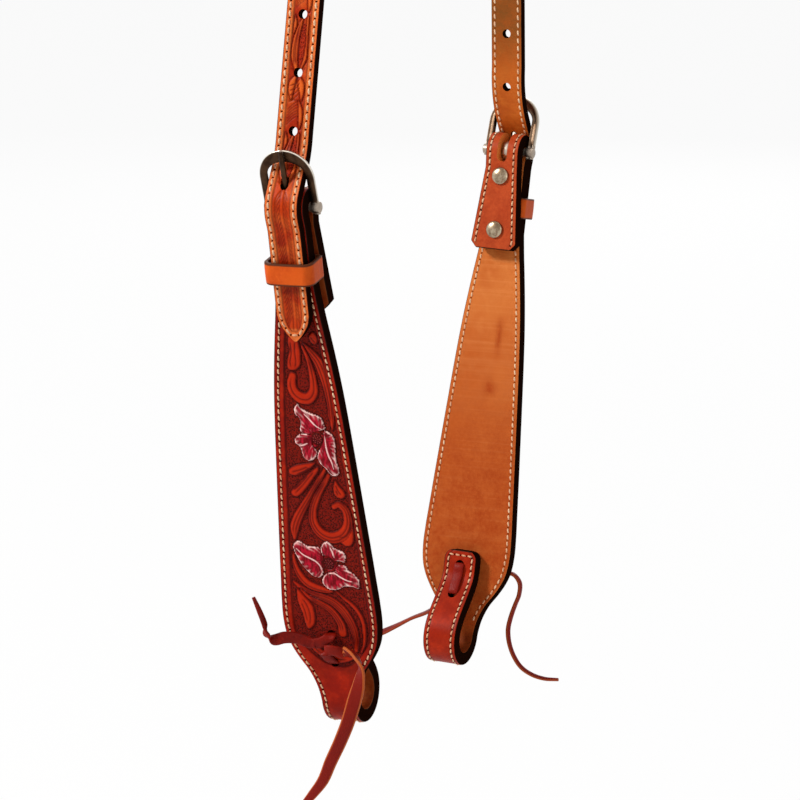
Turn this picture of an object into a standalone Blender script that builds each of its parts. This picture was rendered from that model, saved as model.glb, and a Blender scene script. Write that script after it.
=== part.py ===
"""Western headstall, hung by its crown: two folded cheek pieces, each with a buckle, a tongue,
a keeper, Chicago screws and a leather bit tie, joined over the poll by one crown strap.

Metres, +Z up. The origin is the top of the arch, on the underside of the crown strap.
-Y is the near side and +Y the far side. Each cheek is drawn in its own frame, with its
origin on the buckle's heel bar: across, outward and down."""

from math import acos, atan2, cos, pi, radians, sin

import bmesh
import bpy
from mathutils import Matrix, Vector

# Clearance between pieces that touch
GAP = 0.0003

# Crown strap: 5/8 inch, two layers
STRAP_WIDTH = 0.0159
STRAP_OUTER = 0.0022
STRAP_LINING = 0.0019
CROWN_RADIUS = 0.0950
BILLET_LENGTH = 0.0590
BILLET_POINT = 0.0125
HOLE_SPACING = 0.0254
HOLE_RADIUS = 0.0021
HOLE_COUNT = 7

# How the cheeks hang: heel bars out from the middle and below the crown, and how much further
# out and how much higher the near one is
HEEL_OUT = 0.11355
HEEL_DROP = 0.2700
NEAR_SWING = 0.01375
NEAR_RISE = 0.0012
CHEEK_TURN = {"near": radians(3.0), "far": radians(181.3)}
CHEEK_LEAN = {"near": radians(11.5), "far": radians(9.6)}
CHEEK_ROLL = {"near": radians(-0.8), "far": radians(-2.4)}

# Cheek piece: two layers, folded over the heel bar and back up as the bit loop
CHEEK_OUTER = 0.0033
CHEEK_LINING = 0.0024
CHEEK_LENGTH = 0.2500
CHEEK_WIDTH = 0.0468
FOLD_WIDTH = 0.0170
NECK_WIDTH = 0.0170
TAB_LENGTH = 0.0480
TAB_END_WIDTH = 0.0238
TAB_CLIP = 0.0032
SHOULDER_DROP = 0.0090
BIT_LOOP_DEPTH = 0.0160
BIT_TAB_OVERLAP = 0.0100
BIT_TAB_POINT = 0.0040
BIT_TAB_POINT_WIDTH = 0.0090
BIT_LOOP_LENGTH = 0.0450

# Heel-bar buckle
BAR_RADIUS = 0.0022
LIMB_WIDTH = 0.0041
TOE_WIDTH = 0.0057
LIMB_THICKNESS = 0.0028
LIMB_CLEARANCE = 0.0005
TOE_REACH = 0.0275
HEEL_REACH = 0.0030
TOE_INNER_RISE = 0.0064
TOE_OUTER_RISE = 0.0135
STRAP_BEND_RADIUS = 0.0450
LIMB_EDGE = 0.0006
BUCKLE_TILT = radians(8.5)
TONGUE_RADIUS = 0.0013
TONGUE_TIP_RADIUS = 0.0008
TONGUE_SLOT_WIDTH = 0.0052
TONGUE_SLOT_DROP = 0.0030
TONGUE_HOLE_EASE = 0.0006
TONGUE_OVERHANG = 0.0005
BUCKLE_SWING = radians(3.0)
TONGUE_SWING = radians(3.0)

# Keeper
KEEPER_HEIGHT = 0.0100
KEEPER_THICKNESS = 0.0018
KEEPER_DROP = 0.0270
KEEPER_FRONT_RADIUS = 0.0034
KEEPER_DOWN_TRAVEL = 0.0030

# Chicago screws
UPPER_SCREW_DROP = 0.0125
LOWER_SCREW_DROP = 0.0385
POST_HEAD_RADIUS = 0.00415
POST_DOME = 0.0014
POST_RADIUS = 0.0025
POST_RIM = 0.0004
SCREW_HEAD_RADIUS = 0.0042
SCREW_HEAD = 0.0010
SHANK_RADIUS = 0.0015
SHANK_END_GAP = 0.0008
SCREW_SLOT_WIDTH = 0.0009
SCREW_SLOT_DEPTH = 0.0005

# Bit tie
TIE_SPACING = 0.0135
TIE_ABOVE_LOOP_END = 0.0480
TIE_HOLE_RADIUS = 0.0023
TIE_CORD_RADIUS = 0.0014
TIE_TAIL_RADIUS = 0.0017
KNOT_WIDTH = 0.0130
KNOT_DEPTH = 0.0060
KNOT_HEIGHT = 0.0210
KNOT_EDGE = 0.0020

# How finely round shapes are drawn
ARC_STEP = radians(11.25)
BEND_STEP = radians(7.0)
TURNED_STEPS = 24
HOLE_SIDES = 20
OVERRUN = 0.0200

# Cheek outline: place down the cheek as a share of its length, half width as a share of its widest
CHEEK_OUTLINE_SHARES = (
    (0.000, 0.36), (0.036, 0.36), (0.090, 0.375), (0.140, 0.405), (0.190, 0.465), (0.240, 0.540),
    (0.290, 0.610), (0.340, 0.670), (0.400, 0.727), (0.460, 0.776), (0.520, 0.823), (0.580, 0.869),
    (0.640, 0.915), (0.700, 0.958), (0.745, 0.990), (0.780, 1.000), (0.800, 0.985), (0.820, 0.945),
    (0.840, 0.860), (0.860, 0.735), (0.884, 0.560), (0.912, 0.430),
)
# Billet point: place from the tip as a share of the point, half width as a share of the strap's
BILLET_POINT_SHARES = ((0.0, 0.10), (0.12, 0.36), (0.36, 0.68), (0.66, 0.90), (1.0, 1.0))
# Tie run: places down the bit tab between the tie's two holes, as shares of their spacing
TIE_RUN_SHARES = (0.10, 0.30, 0.52, 0.74, 0.92)
BIT_TAB_CURVE_STEPS = 8
SHOULDER_STEPS = 4
LEG_STEPS = 6
TOE_OPENING_SQUARENESS = 2.0

# The ties' free tails, as they lie: the knot each leaves, its side of the knot, its points
TAIL_ROUTES = {
    "near_tie_side_tail": ("near", -1, (
        (-0.0130, -0.1010, -0.4682), (-0.0178, -0.1040, -0.4690), (-0.0218, -0.1062, -0.4700),
        (-0.0244, -0.1078, -0.4680), (-0.0251, -0.1090, -0.4625), (-0.0271, -0.1100, -0.4565),
        (-0.0296, -0.1110, -0.4502),
    )),
    "near_tie_long_tail": ("near", 1, (
        (0.0140, -0.1035, -0.4712), (0.0195, -0.1070, -0.4728), (0.0231, -0.1090, -0.4772),
        (0.0228, -0.1100, -0.4846), (0.0205, -0.1100, -0.4926), (0.0174, -0.1100, -0.5025),
        (0.0128, -0.1090, -0.5128), (0.0076, -0.1080, -0.5230), (0.0030, -0.1070, -0.5327),
        (-0.0025, -0.1060, -0.5398), (-0.0081, -0.1050, -0.5464),
    )),
    "far_tie_side_tail": ("far", 1, (
        (-0.0266, 0.0790, -0.4950), (-0.0352, 0.0820, -0.5008), (-0.0439, 0.0830, -0.5050),
        (-0.0516, 0.0830, -0.5094), (-0.0583, 0.0820, -0.5130), (-0.0662, 0.0810, -0.5167),
        (-0.0730, 0.0790, -0.5211),
    )),
    "far_tie_long_tail": ("far", -1, (
        (0.0056, 0.0825, -0.4773), (0.0103, 0.0840, -0.4772), (0.0135, 0.0850, -0.4812),
        (0.0134, 0.0850, -0.4871), (0.0112, 0.0850, -0.4929), (0.0092, 0.0845, -0.4990),
        (0.0080, 0.0840, -0.5052), (0.0095, 0.0830, -0.5133), (0.0117, 0.0830, -0.5184),
        (0.0155, 0.0830, -0.5233), (0.0208, 0.0840, -0.5267), (0.0270, 0.0850, -0.5283),
        (0.0342, 0.0860, -0.5282),
    )),
}

# Colours: base colour, roughness, metallic
FINISHES = {
    "tooled_leather": ((0.33, 0.060, 0.018), 0.42, 0.0),
    "lining_leather": ((0.52, 0.200, 0.060), 0.62, 0.0),
    "keeper_leather": ((0.62, 0.200, 0.065), 0.45, 0.0),
    "tie_lace": ((0.20, 0.022, 0.014), 0.60, 0.0),
    "polished_steel": ((0.62, 0.60, 0.57), 0.20, 1.0),
    "nickel": ((0.74, 0.70, 0.62), 0.24, 1.0),
}

# Sizes that follow from the ones above
strap_half = STRAP_WIDTH / 2
cheek_half = CHEEK_WIDTH / 2
leaf_inner = KEEPER_THICKNESS / 2 + GAP
cheek_thickness = CHEEK_LINING + GAP + CHEEK_OUTER
leaf_face = leaf_inner + cheek_thickness
leaf_seam = leaf_inner + CHEEK_LINING + GAP / 2
bar_seam = BAR_RADIUS + GAP + CHEEK_LINING + GAP / 2
strap_seam_lift = GAP + STRAP_LINING + GAP / 2
strap_outer_lift = GAP / 2 + STRAP_OUTER
billet_seam = leaf_face + strap_seam_lift
fold_seam = bar_seam + GAP / 2 + CHEEK_OUTER + strap_seam_lift
billet_face = billet_seam + strap_outer_lift
limb_inner_half = max(FOLD_WIDTH, STRAP_WIDTH) / 2 + LIMB_CLEARANCE
limb_outer_half = limb_inner_half + LIMB_WIDTH
toe_inner_reach = TOE_REACH - TOE_WIDTH
tongue_ring = BAR_RADIUS + GAP + TONGUE_RADIUS
tongue_lift = LIMB_THICKNESS / 2 + GAP + TONGUE_RADIUS
loop_radius = BIT_LOOP_DEPTH / 2 + CHEEK_LINING + GAP / 2
loop_outer_radius = loop_radius + GAP / 2 + CHEEK_OUTER
loop_centre_drop = CHEEK_LENGTH - loop_outer_radius
bit_tab_seam = leaf_inner - GAP - CHEEK_LINING - GAP / 2
bit_tab_drop = CHEEK_LENGTH - BIT_LOOP_LENGTH
tie_drop_upper = CHEEK_LENGTH - TIE_ABOVE_LOOP_END
tie_drop_lower = tie_drop_upper + TIE_SPACING
heel_out = {"near": HEEL_OUT + NEAR_SWING, "far": HEEL_OUT - NEAR_SWING}
heel_drop = {"near": HEEL_DROP - NEAR_RISE, "far": HEEL_DROP + NEAR_RISE}
screw_drops = {"upper": UPPER_SCREW_DROP, "lower": LOWER_SCREW_DROP}
crown_centre = Vector((0, -(CROWN_RADIUS - GAP / 2 - STRAP_LINING)))


def clear_scene():
    for obj in list(bpy.data.objects):
        bpy.data.objects.remove(obj, do_unlink=True)


def make_collection(name, helper=False):
    collection = bpy.data.collections.new(name)
    bpy.context.scene.collection.children.link(collection)
    collection.hide_render = helper
    return collection


def material(name):
    found = bpy.data.materials.get(name)
    if found:
        return found
    colour, roughness, metallic = FINISHES[name]
    made = bpy.data.materials.new(name)
    made.use_nodes = True
    shader = made.node_tree.nodes["Principled BSDF"]
    shader.inputs["Base Color"].default_value = (*colour, 1)
    shader.inputs["Roughness"].default_value = roughness
    shader.inputs["Metallic"].default_value = metallic
    made.diffuse_color = (*colour, 1)
    return made


def link_piece(obj, finish):
    own = material(finish).copy()
    own.name = obj.name + "_finish"
    obj.data.materials.clear()
    obj.data.materials.append(own)
    pieces.objects.link(obj)
    return obj


def mesh_object(name, bm):
    mesh = bpy.data.meshes.new(name)
    bm.to_mesh(mesh)
    bm.free()
    return bpy.data.objects.new(name, mesh)


def meshed(curve_object):
    """A mesh object in the place of a curve object, with its caps welded."""
    scratch = bpy.context.scene.collection
    scratch.objects.link(curve_object)
    graph = bpy.context.evaluated_depsgraph_get()
    mesh = bpy.data.meshes.new_from_object(curve_object.evaluated_get(graph))
    bm = bmesh.new()
    bm.from_mesh(mesh)
    bmesh.ops.remove_doubles(bm, verts=bm.verts, dist=GAP / 100)
    bmesh.ops.recalc_face_normals(bm, faces=bm.faces)
    bm.to_mesh(mesh)
    bm.free()
    made = bpy.data.objects.new(curve_object.name, mesh)
    made.matrix_world = curve_object.matrix_world
    name = curve_object.name
    bpy.data.objects.remove(curve_object, do_unlink=True)
    made.name = name
    return made


def cutter(obj):
    obj.hide_render = True
    obj.display_type = "WIRE"
    cutters.objects.link(obj)
    return obj


def cut(obj, tool):
    step = obj.modifiers.new("cut_" + tool.name, "BOOLEAN")
    step.operation = "DIFFERENCE"
    step.solver = "EXACT"
    step.object = tool


def flat_outline(name, points, depth):
    """A solid of this outline in its own XY plane, this deep along Z."""
    data = bpy.data.curves.new(name, "CURVE")
    data.dimensions = "2D"
    data.fill_mode = "BOTH"
    data.extrude = depth / 2
    spline = data.splines.new("POLY")
    spline.points.add(len(points) - 1)
    for point, (x, y) in zip(spline.points, points):
        point.co = (x, y, 0, 1)
    spline.use_cyclic_u = True
    return meshed(bpy.data.objects.new(name, data))


def arc(centre, radius, start, end, step=ARC_STEP):
    count = max(2, round(abs(end - start) / step))
    turns = [start + (end - start) * i / count for i in range(count + 1)]
    return [(centre[0] + radius * cos(a), centre[1] + radius * sin(a)) for a in turns]


def slot_cutter(name, length, radius, depth, matrix):
    """A slot with round ends, from the matrix's origin this far along its X."""
    step = 2 * pi / HOLE_SIDES
    outline = arc((length, 0), radius, -pi / 2, pi / 2, step)
    outline += arc((0, 0), radius, pi / 2, 3 * pi / 2, step)
    if length <= 0:
        outline = arc((0, 0), radius, 0, 2 * pi - step, step)
    made = flat_outline(name, outline, depth)
    made.matrix_world = matrix
    return cutter(made)


def hole_cutter(name, radius, depth, matrix):
    bm = bmesh.new()
    bmesh.ops.create_cone(
        bm, cap_ends=True, segments=HOLE_SIDES, radius1=radius, radius2=radius, depth=depth
    )
    made = mesh_object(name, bm)
    made.matrix_world = matrix
    return cutter(made)


def box_cutter(name, size, matrix):
    bm = bmesh.new()
    bmesh.ops.create_cube(bm, size=1, matrix=Matrix.Diagonal((*size, 1)))
    made = mesh_object(name, bm)
    made.matrix_world = matrix
    return cutter(made)


def turned(name, profile, matrix):
    """A turned solid: profile points are (radius, height), from top to bottom."""
    bm = bmesh.new()
    corners = [bm.verts.new((radius, 0, height)) for radius, height in profile]
    for first, second in zip(corners, corners[1:]):
        bm.edges.new((first, second))
    made = mesh_object(name, bm)
    spin = made.modifiers.new("turn", "SCREW")
    spin.steps = TURNED_STEPS
    spin.render_steps = TURNED_STEPS
    spin.use_merge_vertices = True
    spin.merge_threshold = GAP / 100
    made.matrix_world = matrix
    return made


def tube(name, points, radius, tip_radius=None):
    """A round cord or wire through these points, which are read from one smooth curve."""
    data = bpy.data.curves.new(name, "CURVE")
    data.dimensions = "3D"
    data.bevel_depth = radius
    data.bevel_resolution = 2
    data.use_fill_caps = True
    spline = data.splines.new("POLY")
    spline.points.add(len(points) - 1)
    for index, point in enumerate(points):
        spline.points[index].co = (*point, 1)
    if tip_radius:
        spline.points[-1].radius = tip_radius / radius
    return bpy.data.objects.new(name, data)


def smoothstep(share):
    share = min(max(share, 0), 1)
    return share * share * (3 - 2 * share)


def line_between(inside_centre, inside_radius, outside_centre, outside_radius):
    """Unit normal of the straight run that passes outside one circle and inside another."""
    apart = outside_centre - inside_centre
    middle = atan2(apart.y, apart.x)
    spread = acos((inside_radius + outside_radius) / apart.length)
    turn = min((middle - spread, middle + spread), key=abs)
    return Vector((cos(turn), sin(turn))), turn


def heel_frame(side):
    outward = heel_out[side] * (-1 if side == "near" else 1)
    place = Matrix.Translation((0, outward, -heel_drop[side]))
    turn = Matrix.Rotation(CHEEK_TURN[side], 4, "Z")
    lean = Matrix.Rotation(CHEEK_LEAN[side], 4, "X")
    roll = Matrix.Rotation(CHEEK_ROLL[side], 4, "Y")
    return place @ turn @ lean @ roll


def from_cheek(across, outward, down):
    return Vector((across, -outward, -down))


def facing(origin, x_axis, z_axis):
    """A matrix with its origin here, its Z along z_axis and its X near x_axis."""
    z = Vector(z_axis).normalized()
    y = z.cross(Vector(x_axis)).normalized()
    x = y.cross(z)
    turned_axes = Matrix((x, y, z)).transposed().to_4x4()
    return Matrix.Translation(origin) @ turned_axes


def strip(name, stations, low, high, finish):
    """A leather layer along stations of (place, across, outward, half width): an open sheet
    laid on the layer's inner face, then given its thickness outwards."""
    bm = bmesh.new()
    bmesh.ops.create_grid(bm, x_segments=len(stations) - 1, y_segments=1, size=1)
    last = len(stations) - 1
    for vert in bm.verts:
        place, across, outward, half = stations[round((vert.co.x + 1) / 2 * last)]
        vert.co = place + across * (half * vert.co.y) + outward * low
    bm.normal_update()
    bm.faces.ensure_lookup_table()
    middle = bm.faces[0].calc_center_median()
    nearest = min(stations, key=lambda station: (station[0] - middle).length)
    if bm.faces[0].normal.dot(nearest[2]) < 0:
        bmesh.ops.reverse_faces(bm, faces=bm.faces)
    layer = mesh_object(name, bm)
    wall = layer.modifiers.new("thickness", "SOLIDIFY")
    wall.thickness = high - low
    wall.offset = 1
    wall.use_even_offset = True
    return link_piece(layer, finish)


def lay_route(route, frame, across, facing_sign):
    """Stations along a route of (outward, down, half width) in the cheek's frame."""
    turn = frame.to_3x3()
    stations = []
    for i, (outward, down, half) in enumerate(route):
        before = Vector(route[max(i - 1, 0)][:2])
        here = Vector((outward, down))
        after = Vector(route[min(i + 1, len(route) - 1)][:2])
        along = Vector((0, 0))
        for run in (here - before, after - here):
            if run.length:
                along += run.normalized()
        along.normalize()
        normal = turn @ from_cheek(0, along.y, -along.x) * facing_sign
        stations.append((frame @ from_cheek(0, outward, down), across, normal, half))
    return stations


def cheek_outline_half(drop):
    """The cheek's half width this far below the heel bar."""
    shares = [(place * CHEEK_LENGTH, half * cheek_half) for place, half in CHEEK_OUTLINE_SHARES]
    if drop <= shares[0][0]:
        return FOLD_WIDTH / 2
    for (start, first), (end, second) in zip(shares, shares[1:]):
        if drop <= end:
            share = (drop - start) / (end - start)
            return first + (second - first) * share
    return NECK_WIDTH / 2


def seam_at(drop, at_bar, below):
    """How far out a seam lies on the front of the cheek: it eases in below the heel bar."""
    return at_bar + (below - at_bar) * smoothstep(drop / SHOULDER_DROP)


def bit_tab_at(drop):
    """How far out the bit tab's seam is, this far down the back of the loop."""
    far_side = leaf_seam - 2 * loop_radius
    share = (loop_centre_drop - drop) / (loop_centre_drop - bit_tab_drop)
    return far_side + (bit_tab_seam - far_side) * smoothstep(share)


def cheek_route():
    """The seam between the cheek's two layers as (outward, down, half width): up the tab, over
    the heel bar, down the cheek, round the bit loop and up its tab."""
    clip = [(0, TAB_CLIP), (TAB_CLIP, 0)]
    route = []
    tab_half = TAB_END_WIDTH / 2
    for above, narrower in clip:
        route.append((-leaf_seam, TAB_LENGTH - above, tab_half - narrower))
    route.append((-leaf_seam, SHOULDER_DROP, FOLD_WIDTH / 2))
    for i in range(1, SHOULDER_STEPS):
        drop = SHOULDER_DROP * (1 - i / SHOULDER_STEPS)
        route.append((-seam_at(drop, bar_seam, leaf_seam), drop, FOLD_WIDTH / 2))
    for outward, down in arc((0, 0), bar_seam, pi, 2 * pi):
        route.append((outward, down, FOLD_WIDTH / 2))
    for i in range(1, SHOULDER_STEPS + 1):
        drop = SHOULDER_DROP * i / SHOULDER_STEPS
        route.append((seam_at(drop, bar_seam, leaf_seam), drop, FOLD_WIDTH / 2))
    for place, half in CHEEK_OUTLINE_SHARES:
        drop = place * CHEEK_LENGTH
        if SHOULDER_DROP < drop < loop_centre_drop:
            route.append((leaf_seam, drop, max(half * cheek_half, NECK_WIDTH / 2)))
    centre = (leaf_seam - loop_radius, loop_centre_drop)
    for outward, down in arc(centre, loop_radius, 0, pi):
        route.append((outward, down, NECK_WIDTH / 2))
    for i in range(1, BIT_TAB_CURVE_STEPS + 1):
        share = i / BIT_TAB_CURVE_STEPS
        down = loop_centre_drop + (bit_tab_drop - loop_centre_drop) * share
        route.append((bit_tab_at(down), down, NECK_WIDTH / 2))
    tip_drop = bit_tab_drop - BIT_TAB_OVERLAP
    route.append((bit_tab_seam, tip_drop + BIT_TAB_POINT, NECK_WIDTH / 2))
    route.append((bit_tab_seam, tip_drop, BIT_TAB_POINT_WIDTH / 2))
    return route


def cheek_stations(frame):
    return lay_route(cheek_route(), frame, frame.to_3x3() @ Vector((1, 0, 0)), 1)


def toe_inner_edge(off_middle):
    """How far from the heel bar the toe's inner edge is, this far off the middle."""
    share = min(off_middle / limb_inner_half, 1)
    height = (1 - share**TOE_OPENING_SQUARENESS) ** (1 / TOE_OPENING_SQUARENESS)
    return toe_inner_reach - TOE_INNER_RISE * (1 - height)


def toe_corner():
    """The toe's inner rear edge at the strap's edges, as (outward, up) from the heel bar."""
    reach, under = toe_inner_edge(strap_half), LIMB_THICKNESS / 2
    return Vector((
        reach * sin(BUCKLE_TILT) - under * cos(BUCKLE_TILT),
        reach * cos(BUCKLE_TILT) + under * sin(BUCKLE_TILT),
    ))


def tongue_line():
    """The tongue's straight run from over the heel bar to over the toe, as (outward, up)."""
    toward_toe = Vector((sin(BUCKLE_TILT), cos(BUCKLE_TILT)))
    off_face = Vector((cos(BUCKLE_TILT), -sin(BUCKLE_TILT)))
    start = off_face * tongue_ring
    end = toward_toe * (toe_inner_reach + TOE_WIDTH / 2) + off_face * tongue_lift
    return start, end


def strap_crossing():
    """Normal and lean of the strap's straight run from over the fold to behind the toe."""
    return line_between(Vector((0, 0)), fold_seam, toe_corner(), strap_outer_lift + GAP)


def bend_centre():
    """Centre of the strap's bend above the toe: it starts where the strap passes the toe."""
    normal, _ = strap_crossing()
    return toe_corner() + normal * (STRAP_BEND_RADIUS - strap_outer_lift - GAP)


def tongue_crossing():
    """Where the tongue's axis meets the strap's seam, as (outward, up)."""
    normal, _ = strap_crossing()
    start, end = tongue_line()
    along = end - start
    share = (fold_seam - start.dot(normal)) / along.dot(normal)
    return start + along * share


def billet_route(leg_lean):
    """The strap's seam from its tip up the front of the cheek, over the fold and round behind
    the toe, to where it leans like the leg above, as (outward, down, half width)."""
    route = []
    for from_tip, width in BILLET_POINT_SHARES:
        route.append((billet_seam, BILLET_LENGTH - from_tip * BILLET_POINT, strap_half * width))
    for i in range(SHOULDER_STEPS, 0, -1):
        drop = SHOULDER_DROP * i / SHOULDER_STEPS
        route.append((seam_at(drop, fold_seam, billet_seam), drop, strap_half))
    _, lean = strap_crossing()
    for outward, up in arc((0, 0), fold_seam, 0, lean):
        route.append((outward, -up, strap_half))
    for outward, up in arc(bend_centre(), STRAP_BEND_RADIUS, lean + pi, leg_lean + pi, BEND_STEP):
        route.append((outward, -up, strap_half))
    return route


def side_stations(side):
    """One side of the crown strap, from its tip to the top of the arch."""
    frame = heel_frame(side)
    sign = -1 if side == "near" else 1
    bend = bend_centre()
    bend_place = frame @ from_cheek(0, bend.x, -bend.y)
    bend_flat = Vector((bend_place.y * sign, bend_place.z))
    _, lean = line_between(crown_centre, CROWN_RADIUS, bend_flat, STRAP_BEND_RADIUS)
    leg_normal = Vector((0, cos(lean) * sign, sin(lean)))
    local = frame.to_3x3().inverted() @ leg_normal
    across = frame.to_3x3() @ Vector((1, 0, 0)) * -sign
    stations = lay_route(billet_route(atan2(local.z, -local.y)), frame, across, -1)
    start = stations[-1][0]
    arch = arc(crown_centre, CROWN_RADIUS, lean, pi / 2)
    end = Vector((0, arch[0][0] * sign, arch[0][1]))
    for i in range(1, LEG_STEPS):
        share = i / LEG_STEPS
        level = across.lerp(Vector((1, 0, 0)), share).normalized()
        normal = level.cross(end - start).normalized()
        normal *= 1 if normal.dot(leg_normal) > 0 else -1
        stations.append((start.lerp(end, share), level, normal, strap_half))
    for point in arch:
        turn = atan2(point[1] - crown_centre.y, point[0])
        outward = Vector((0, cos(turn) * sign, sin(turn)))
        stations.append((Vector((0, point[0] * sign, point[1])), Vector((1, 0, 0)), outward, strap_half))
    return stations


def strap_stations():
    sides = {side: side_stations(side) for side in ("near", "far")}
    return sides["near"] + sides["far"][-2::-1], sides


def along_strap(stations, start, distance):
    """The place and outward direction this far along the strap's seam from a place on it."""
    runs = list(zip(stations, stations[1:]))
    nearest = min(
        range(len(runs)),
        key=lambda i: distance_to_run(start, runs[i][0][0], runs[i][1][0]),
    )
    here, left = start, distance
    for first, second in runs[nearest:]:
        run = second[0] - here
        if left <= run.length:
            share = left / run.length
            outward = first[2].lerp(second[2], share).normalized()
            return here + run * share, outward
        left -= run.length
        here = second[0]
    return here, stations[-1][2]


def distance_to_run(point, first, second):
    along = second - first
    share = min(max((point - first).dot(along) / along.length_squared, 0), 1)
    return (point - first - along * share).length


def make_crown():
    stations, sides = strap_stations()
    low, high = GAP / 2, strap_outer_lift
    outer = strip("crown_outer", stations, low, high, "tooled_leather")
    lining = strip("crown_lining", stations, -low - STRAP_LINING, -low, "lining_leather")
    for side in ("near", "far"):
        frame = heel_frame(side)
        start, end = tongue_line()
        along = (end - start).normalized()
        crossing = tongue_crossing()
        lift = Vector((along.y, -along.x))
        axis = frame.to_3x3() @ from_cheek(0, along.x, -along.y)
        raised = frame.to_3x3() @ from_cheek(0, lift.x, -lift.y)
        place = frame @ from_cheek(0, crossing.x, -crossing.y)
        swept = crossing.length * (BUCKLE_SWING + TONGUE_SWING)
        tool = slot_cutter(
            side + "_tongue_hole", swept, TONGUE_RADIUS + TONGUE_HOLE_EASE, OVERRUN,
            facing(place, raised, axis),
        )
        cut(outer, tool)
        cut(lining, tool)
        for i in range(1, HOLE_COUNT):
            point, outward = along_strap(sides[side], place, HOLE_SPACING * i)
            tool = hole_cutter(
                f"{side}_strap_hole_{i}", HOLE_RADIUS, OVERRUN, facing(point, (1, 0, 0), outward)
            )
            cut(outer, tool)
            cut(lining, tool)


def make_cheek(side):
    frame = heel_frame(side)
    stations = cheek_stations(frame)
    low = GAP / 2
    outer = strip(side + "_cheek_outer", stations, low, low + CHEEK_OUTER, "tooled_leather")
    lining = strip(side + "_cheek_lining", stations, -low - CHEEK_LINING, -low, "lining_leather")
    outward = frame.to_3x3() @ from_cheek(0, 1, 0)
    upward = frame.to_3x3() @ from_cheek(0, 0, -1)
    tools = [slot_cutter(
        side + "_tongue_slot", OVERRUN, TONGUE_SLOT_WIDTH / 2, 2 * OVERRUN,
        facing(frame @ from_cheek(0, 0, TONGUE_SLOT_DROP), upward, outward),
    )]
    for place, drop in screw_drops.items():
        tools.append(hole_cutter(
            f"{side}_{place}_post_hole", POST_RADIUS + GAP, 2 * OVERRUN,
            facing(frame @ from_cheek(0, 0, drop), upward, outward),
        ))
    for place, drop in (("upper", tie_drop_upper), ("lower", tie_drop_lower)):
        tools.append(hole_cutter(
            f"{side}_{place}_tie_hole", TIE_HOLE_RADIUS, 4 * OVERRUN,
            facing(frame @ from_cheek(0, 0, drop), upward, outward),
        ))
    for tool in tools:
        cut(outer, tool)
        cut(lining, tool)
    sink = SCREW_HEAD + GAP
    for place, drop in screw_drops.items():
        middle = leaf_face - sink + OVERRUN / 2
        cut(outer, hole_cutter(
            f"{side}_{place}_head_recess", SCREW_HEAD_RADIUS + GAP, OVERRUN,
            facing(frame @ from_cheek(0, middle, drop), upward, outward),
        ))


def make_screws(side):
    """Two Chicago screws: a domed post from the inside, and a slotted screw from the front."""
    frame = heel_frame(side)
    inward = frame.to_3x3() @ from_cheek(0, -1, 0)
    upward = frame.to_3x3() @ from_cheek(0, 0, -1)
    head_low = leaf_face + GAP
    head_rim = head_low + POST_RIM
    screw_top = -(leaf_face - SCREW_HEAD)
    post_end = screw_top + GAP
    bore = SHANK_RADIUS + GAP
    dome = [
        (POST_HEAD_RADIUS * sin(pi / 2 * i / 5), head_rim + POST_DOME * cos(pi / 2 * i / 5))
        for i in range(6)
    ]
    dome[0] = (0, head_rim + POST_DOME)
    bore_top = head_low - POST_RIM
    post = dome + [
        (POST_HEAD_RADIUS, head_low), (POST_RADIUS, head_low), (POST_RADIUS, post_end),
        (bore, post_end), (bore, bore_top), (0, bore_top),
    ]
    screw = [
        (0, bore_top - SHANK_END_GAP), (SHANK_RADIUS, bore_top - SHANK_END_GAP),
        (SHANK_RADIUS, screw_top), (SCREW_HEAD_RADIUS, screw_top),
        (SCREW_HEAD_RADIUS, screw_top - SCREW_HEAD), (0, screw_top - SCREW_HEAD),
    ]
    for place, drop in screw_drops.items():
        matrix = facing(frame @ from_cheek(0, 0, drop), upward, inward)
        link_piece(turned(f"{side}_{place}_chicago_post", post, matrix), "nickel")
        driven = link_piece(turned(f"{side}_{place}_chicago_screw", screw, matrix), "nickel")
        low_face = frame @ from_cheek(0, -(screw_top - SCREW_HEAD), drop)
        cut(driven, box_cutter(
            f"{side}_{place}_driver_slot",
            (3 * SCREW_HEAD_RADIUS, SCREW_SLOT_WIDTH, 2 * SCREW_SLOT_DEPTH),
            facing(low_face, upward, inward),
        ))


def make_keeper(side):
    frame = heel_frame(side)
    low_limit = KEEPER_DROP + KEEPER_DOWN_TRAVEL + KEEPER_HEIGHT / 2
    wall = KEEPER_THICKNESS / 2
    half = max(cheek_outline_half(low_limit), strap_half) + GAP + wall
    front = billet_face + GAP + wall
    back_round = wall + GAP / 2
    outline = arc((half - back_round, back_round), back_round, -pi / 2, 0)
    rounding = KEEPER_FRONT_RADIUS
    outline += arc((half - rounding, front - rounding), rounding, 0, pi / 2)
    outline += [(-x, y) for x, y in reversed(outline)]
    data = bpy.data.curves.new(side + "_keeper", "CURVE")
    data.dimensions = "2D"
    data.fill_mode = "NONE"
    data.extrude = KEEPER_HEIGHT / 2
    spline = data.splines.new("POLY")
    spline.points.add(len(outline) - 1)
    for point, (x, y) in zip(spline.points, outline):
        point.co = (x, y, 0, 1)
    spline.use_cyclic_u = True
    band = meshed(bpy.data.objects.new(side + "_keeper", data))
    across = frame.to_3x3() @ Vector((1, 0, 0))
    downward = frame.to_3x3() @ from_cheek(0, 0, 1)
    band.matrix_world = facing(frame @ from_cheek(0, 0, KEEPER_DROP), across, downward)
    thick = band.modifiers.new("thickness", "SOLIDIFY")
    thick.thickness = KEEPER_THICKNESS
    thick.offset = 0
    thick.use_even_offset = True
    link_piece(band, "keeper_leather")


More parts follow.
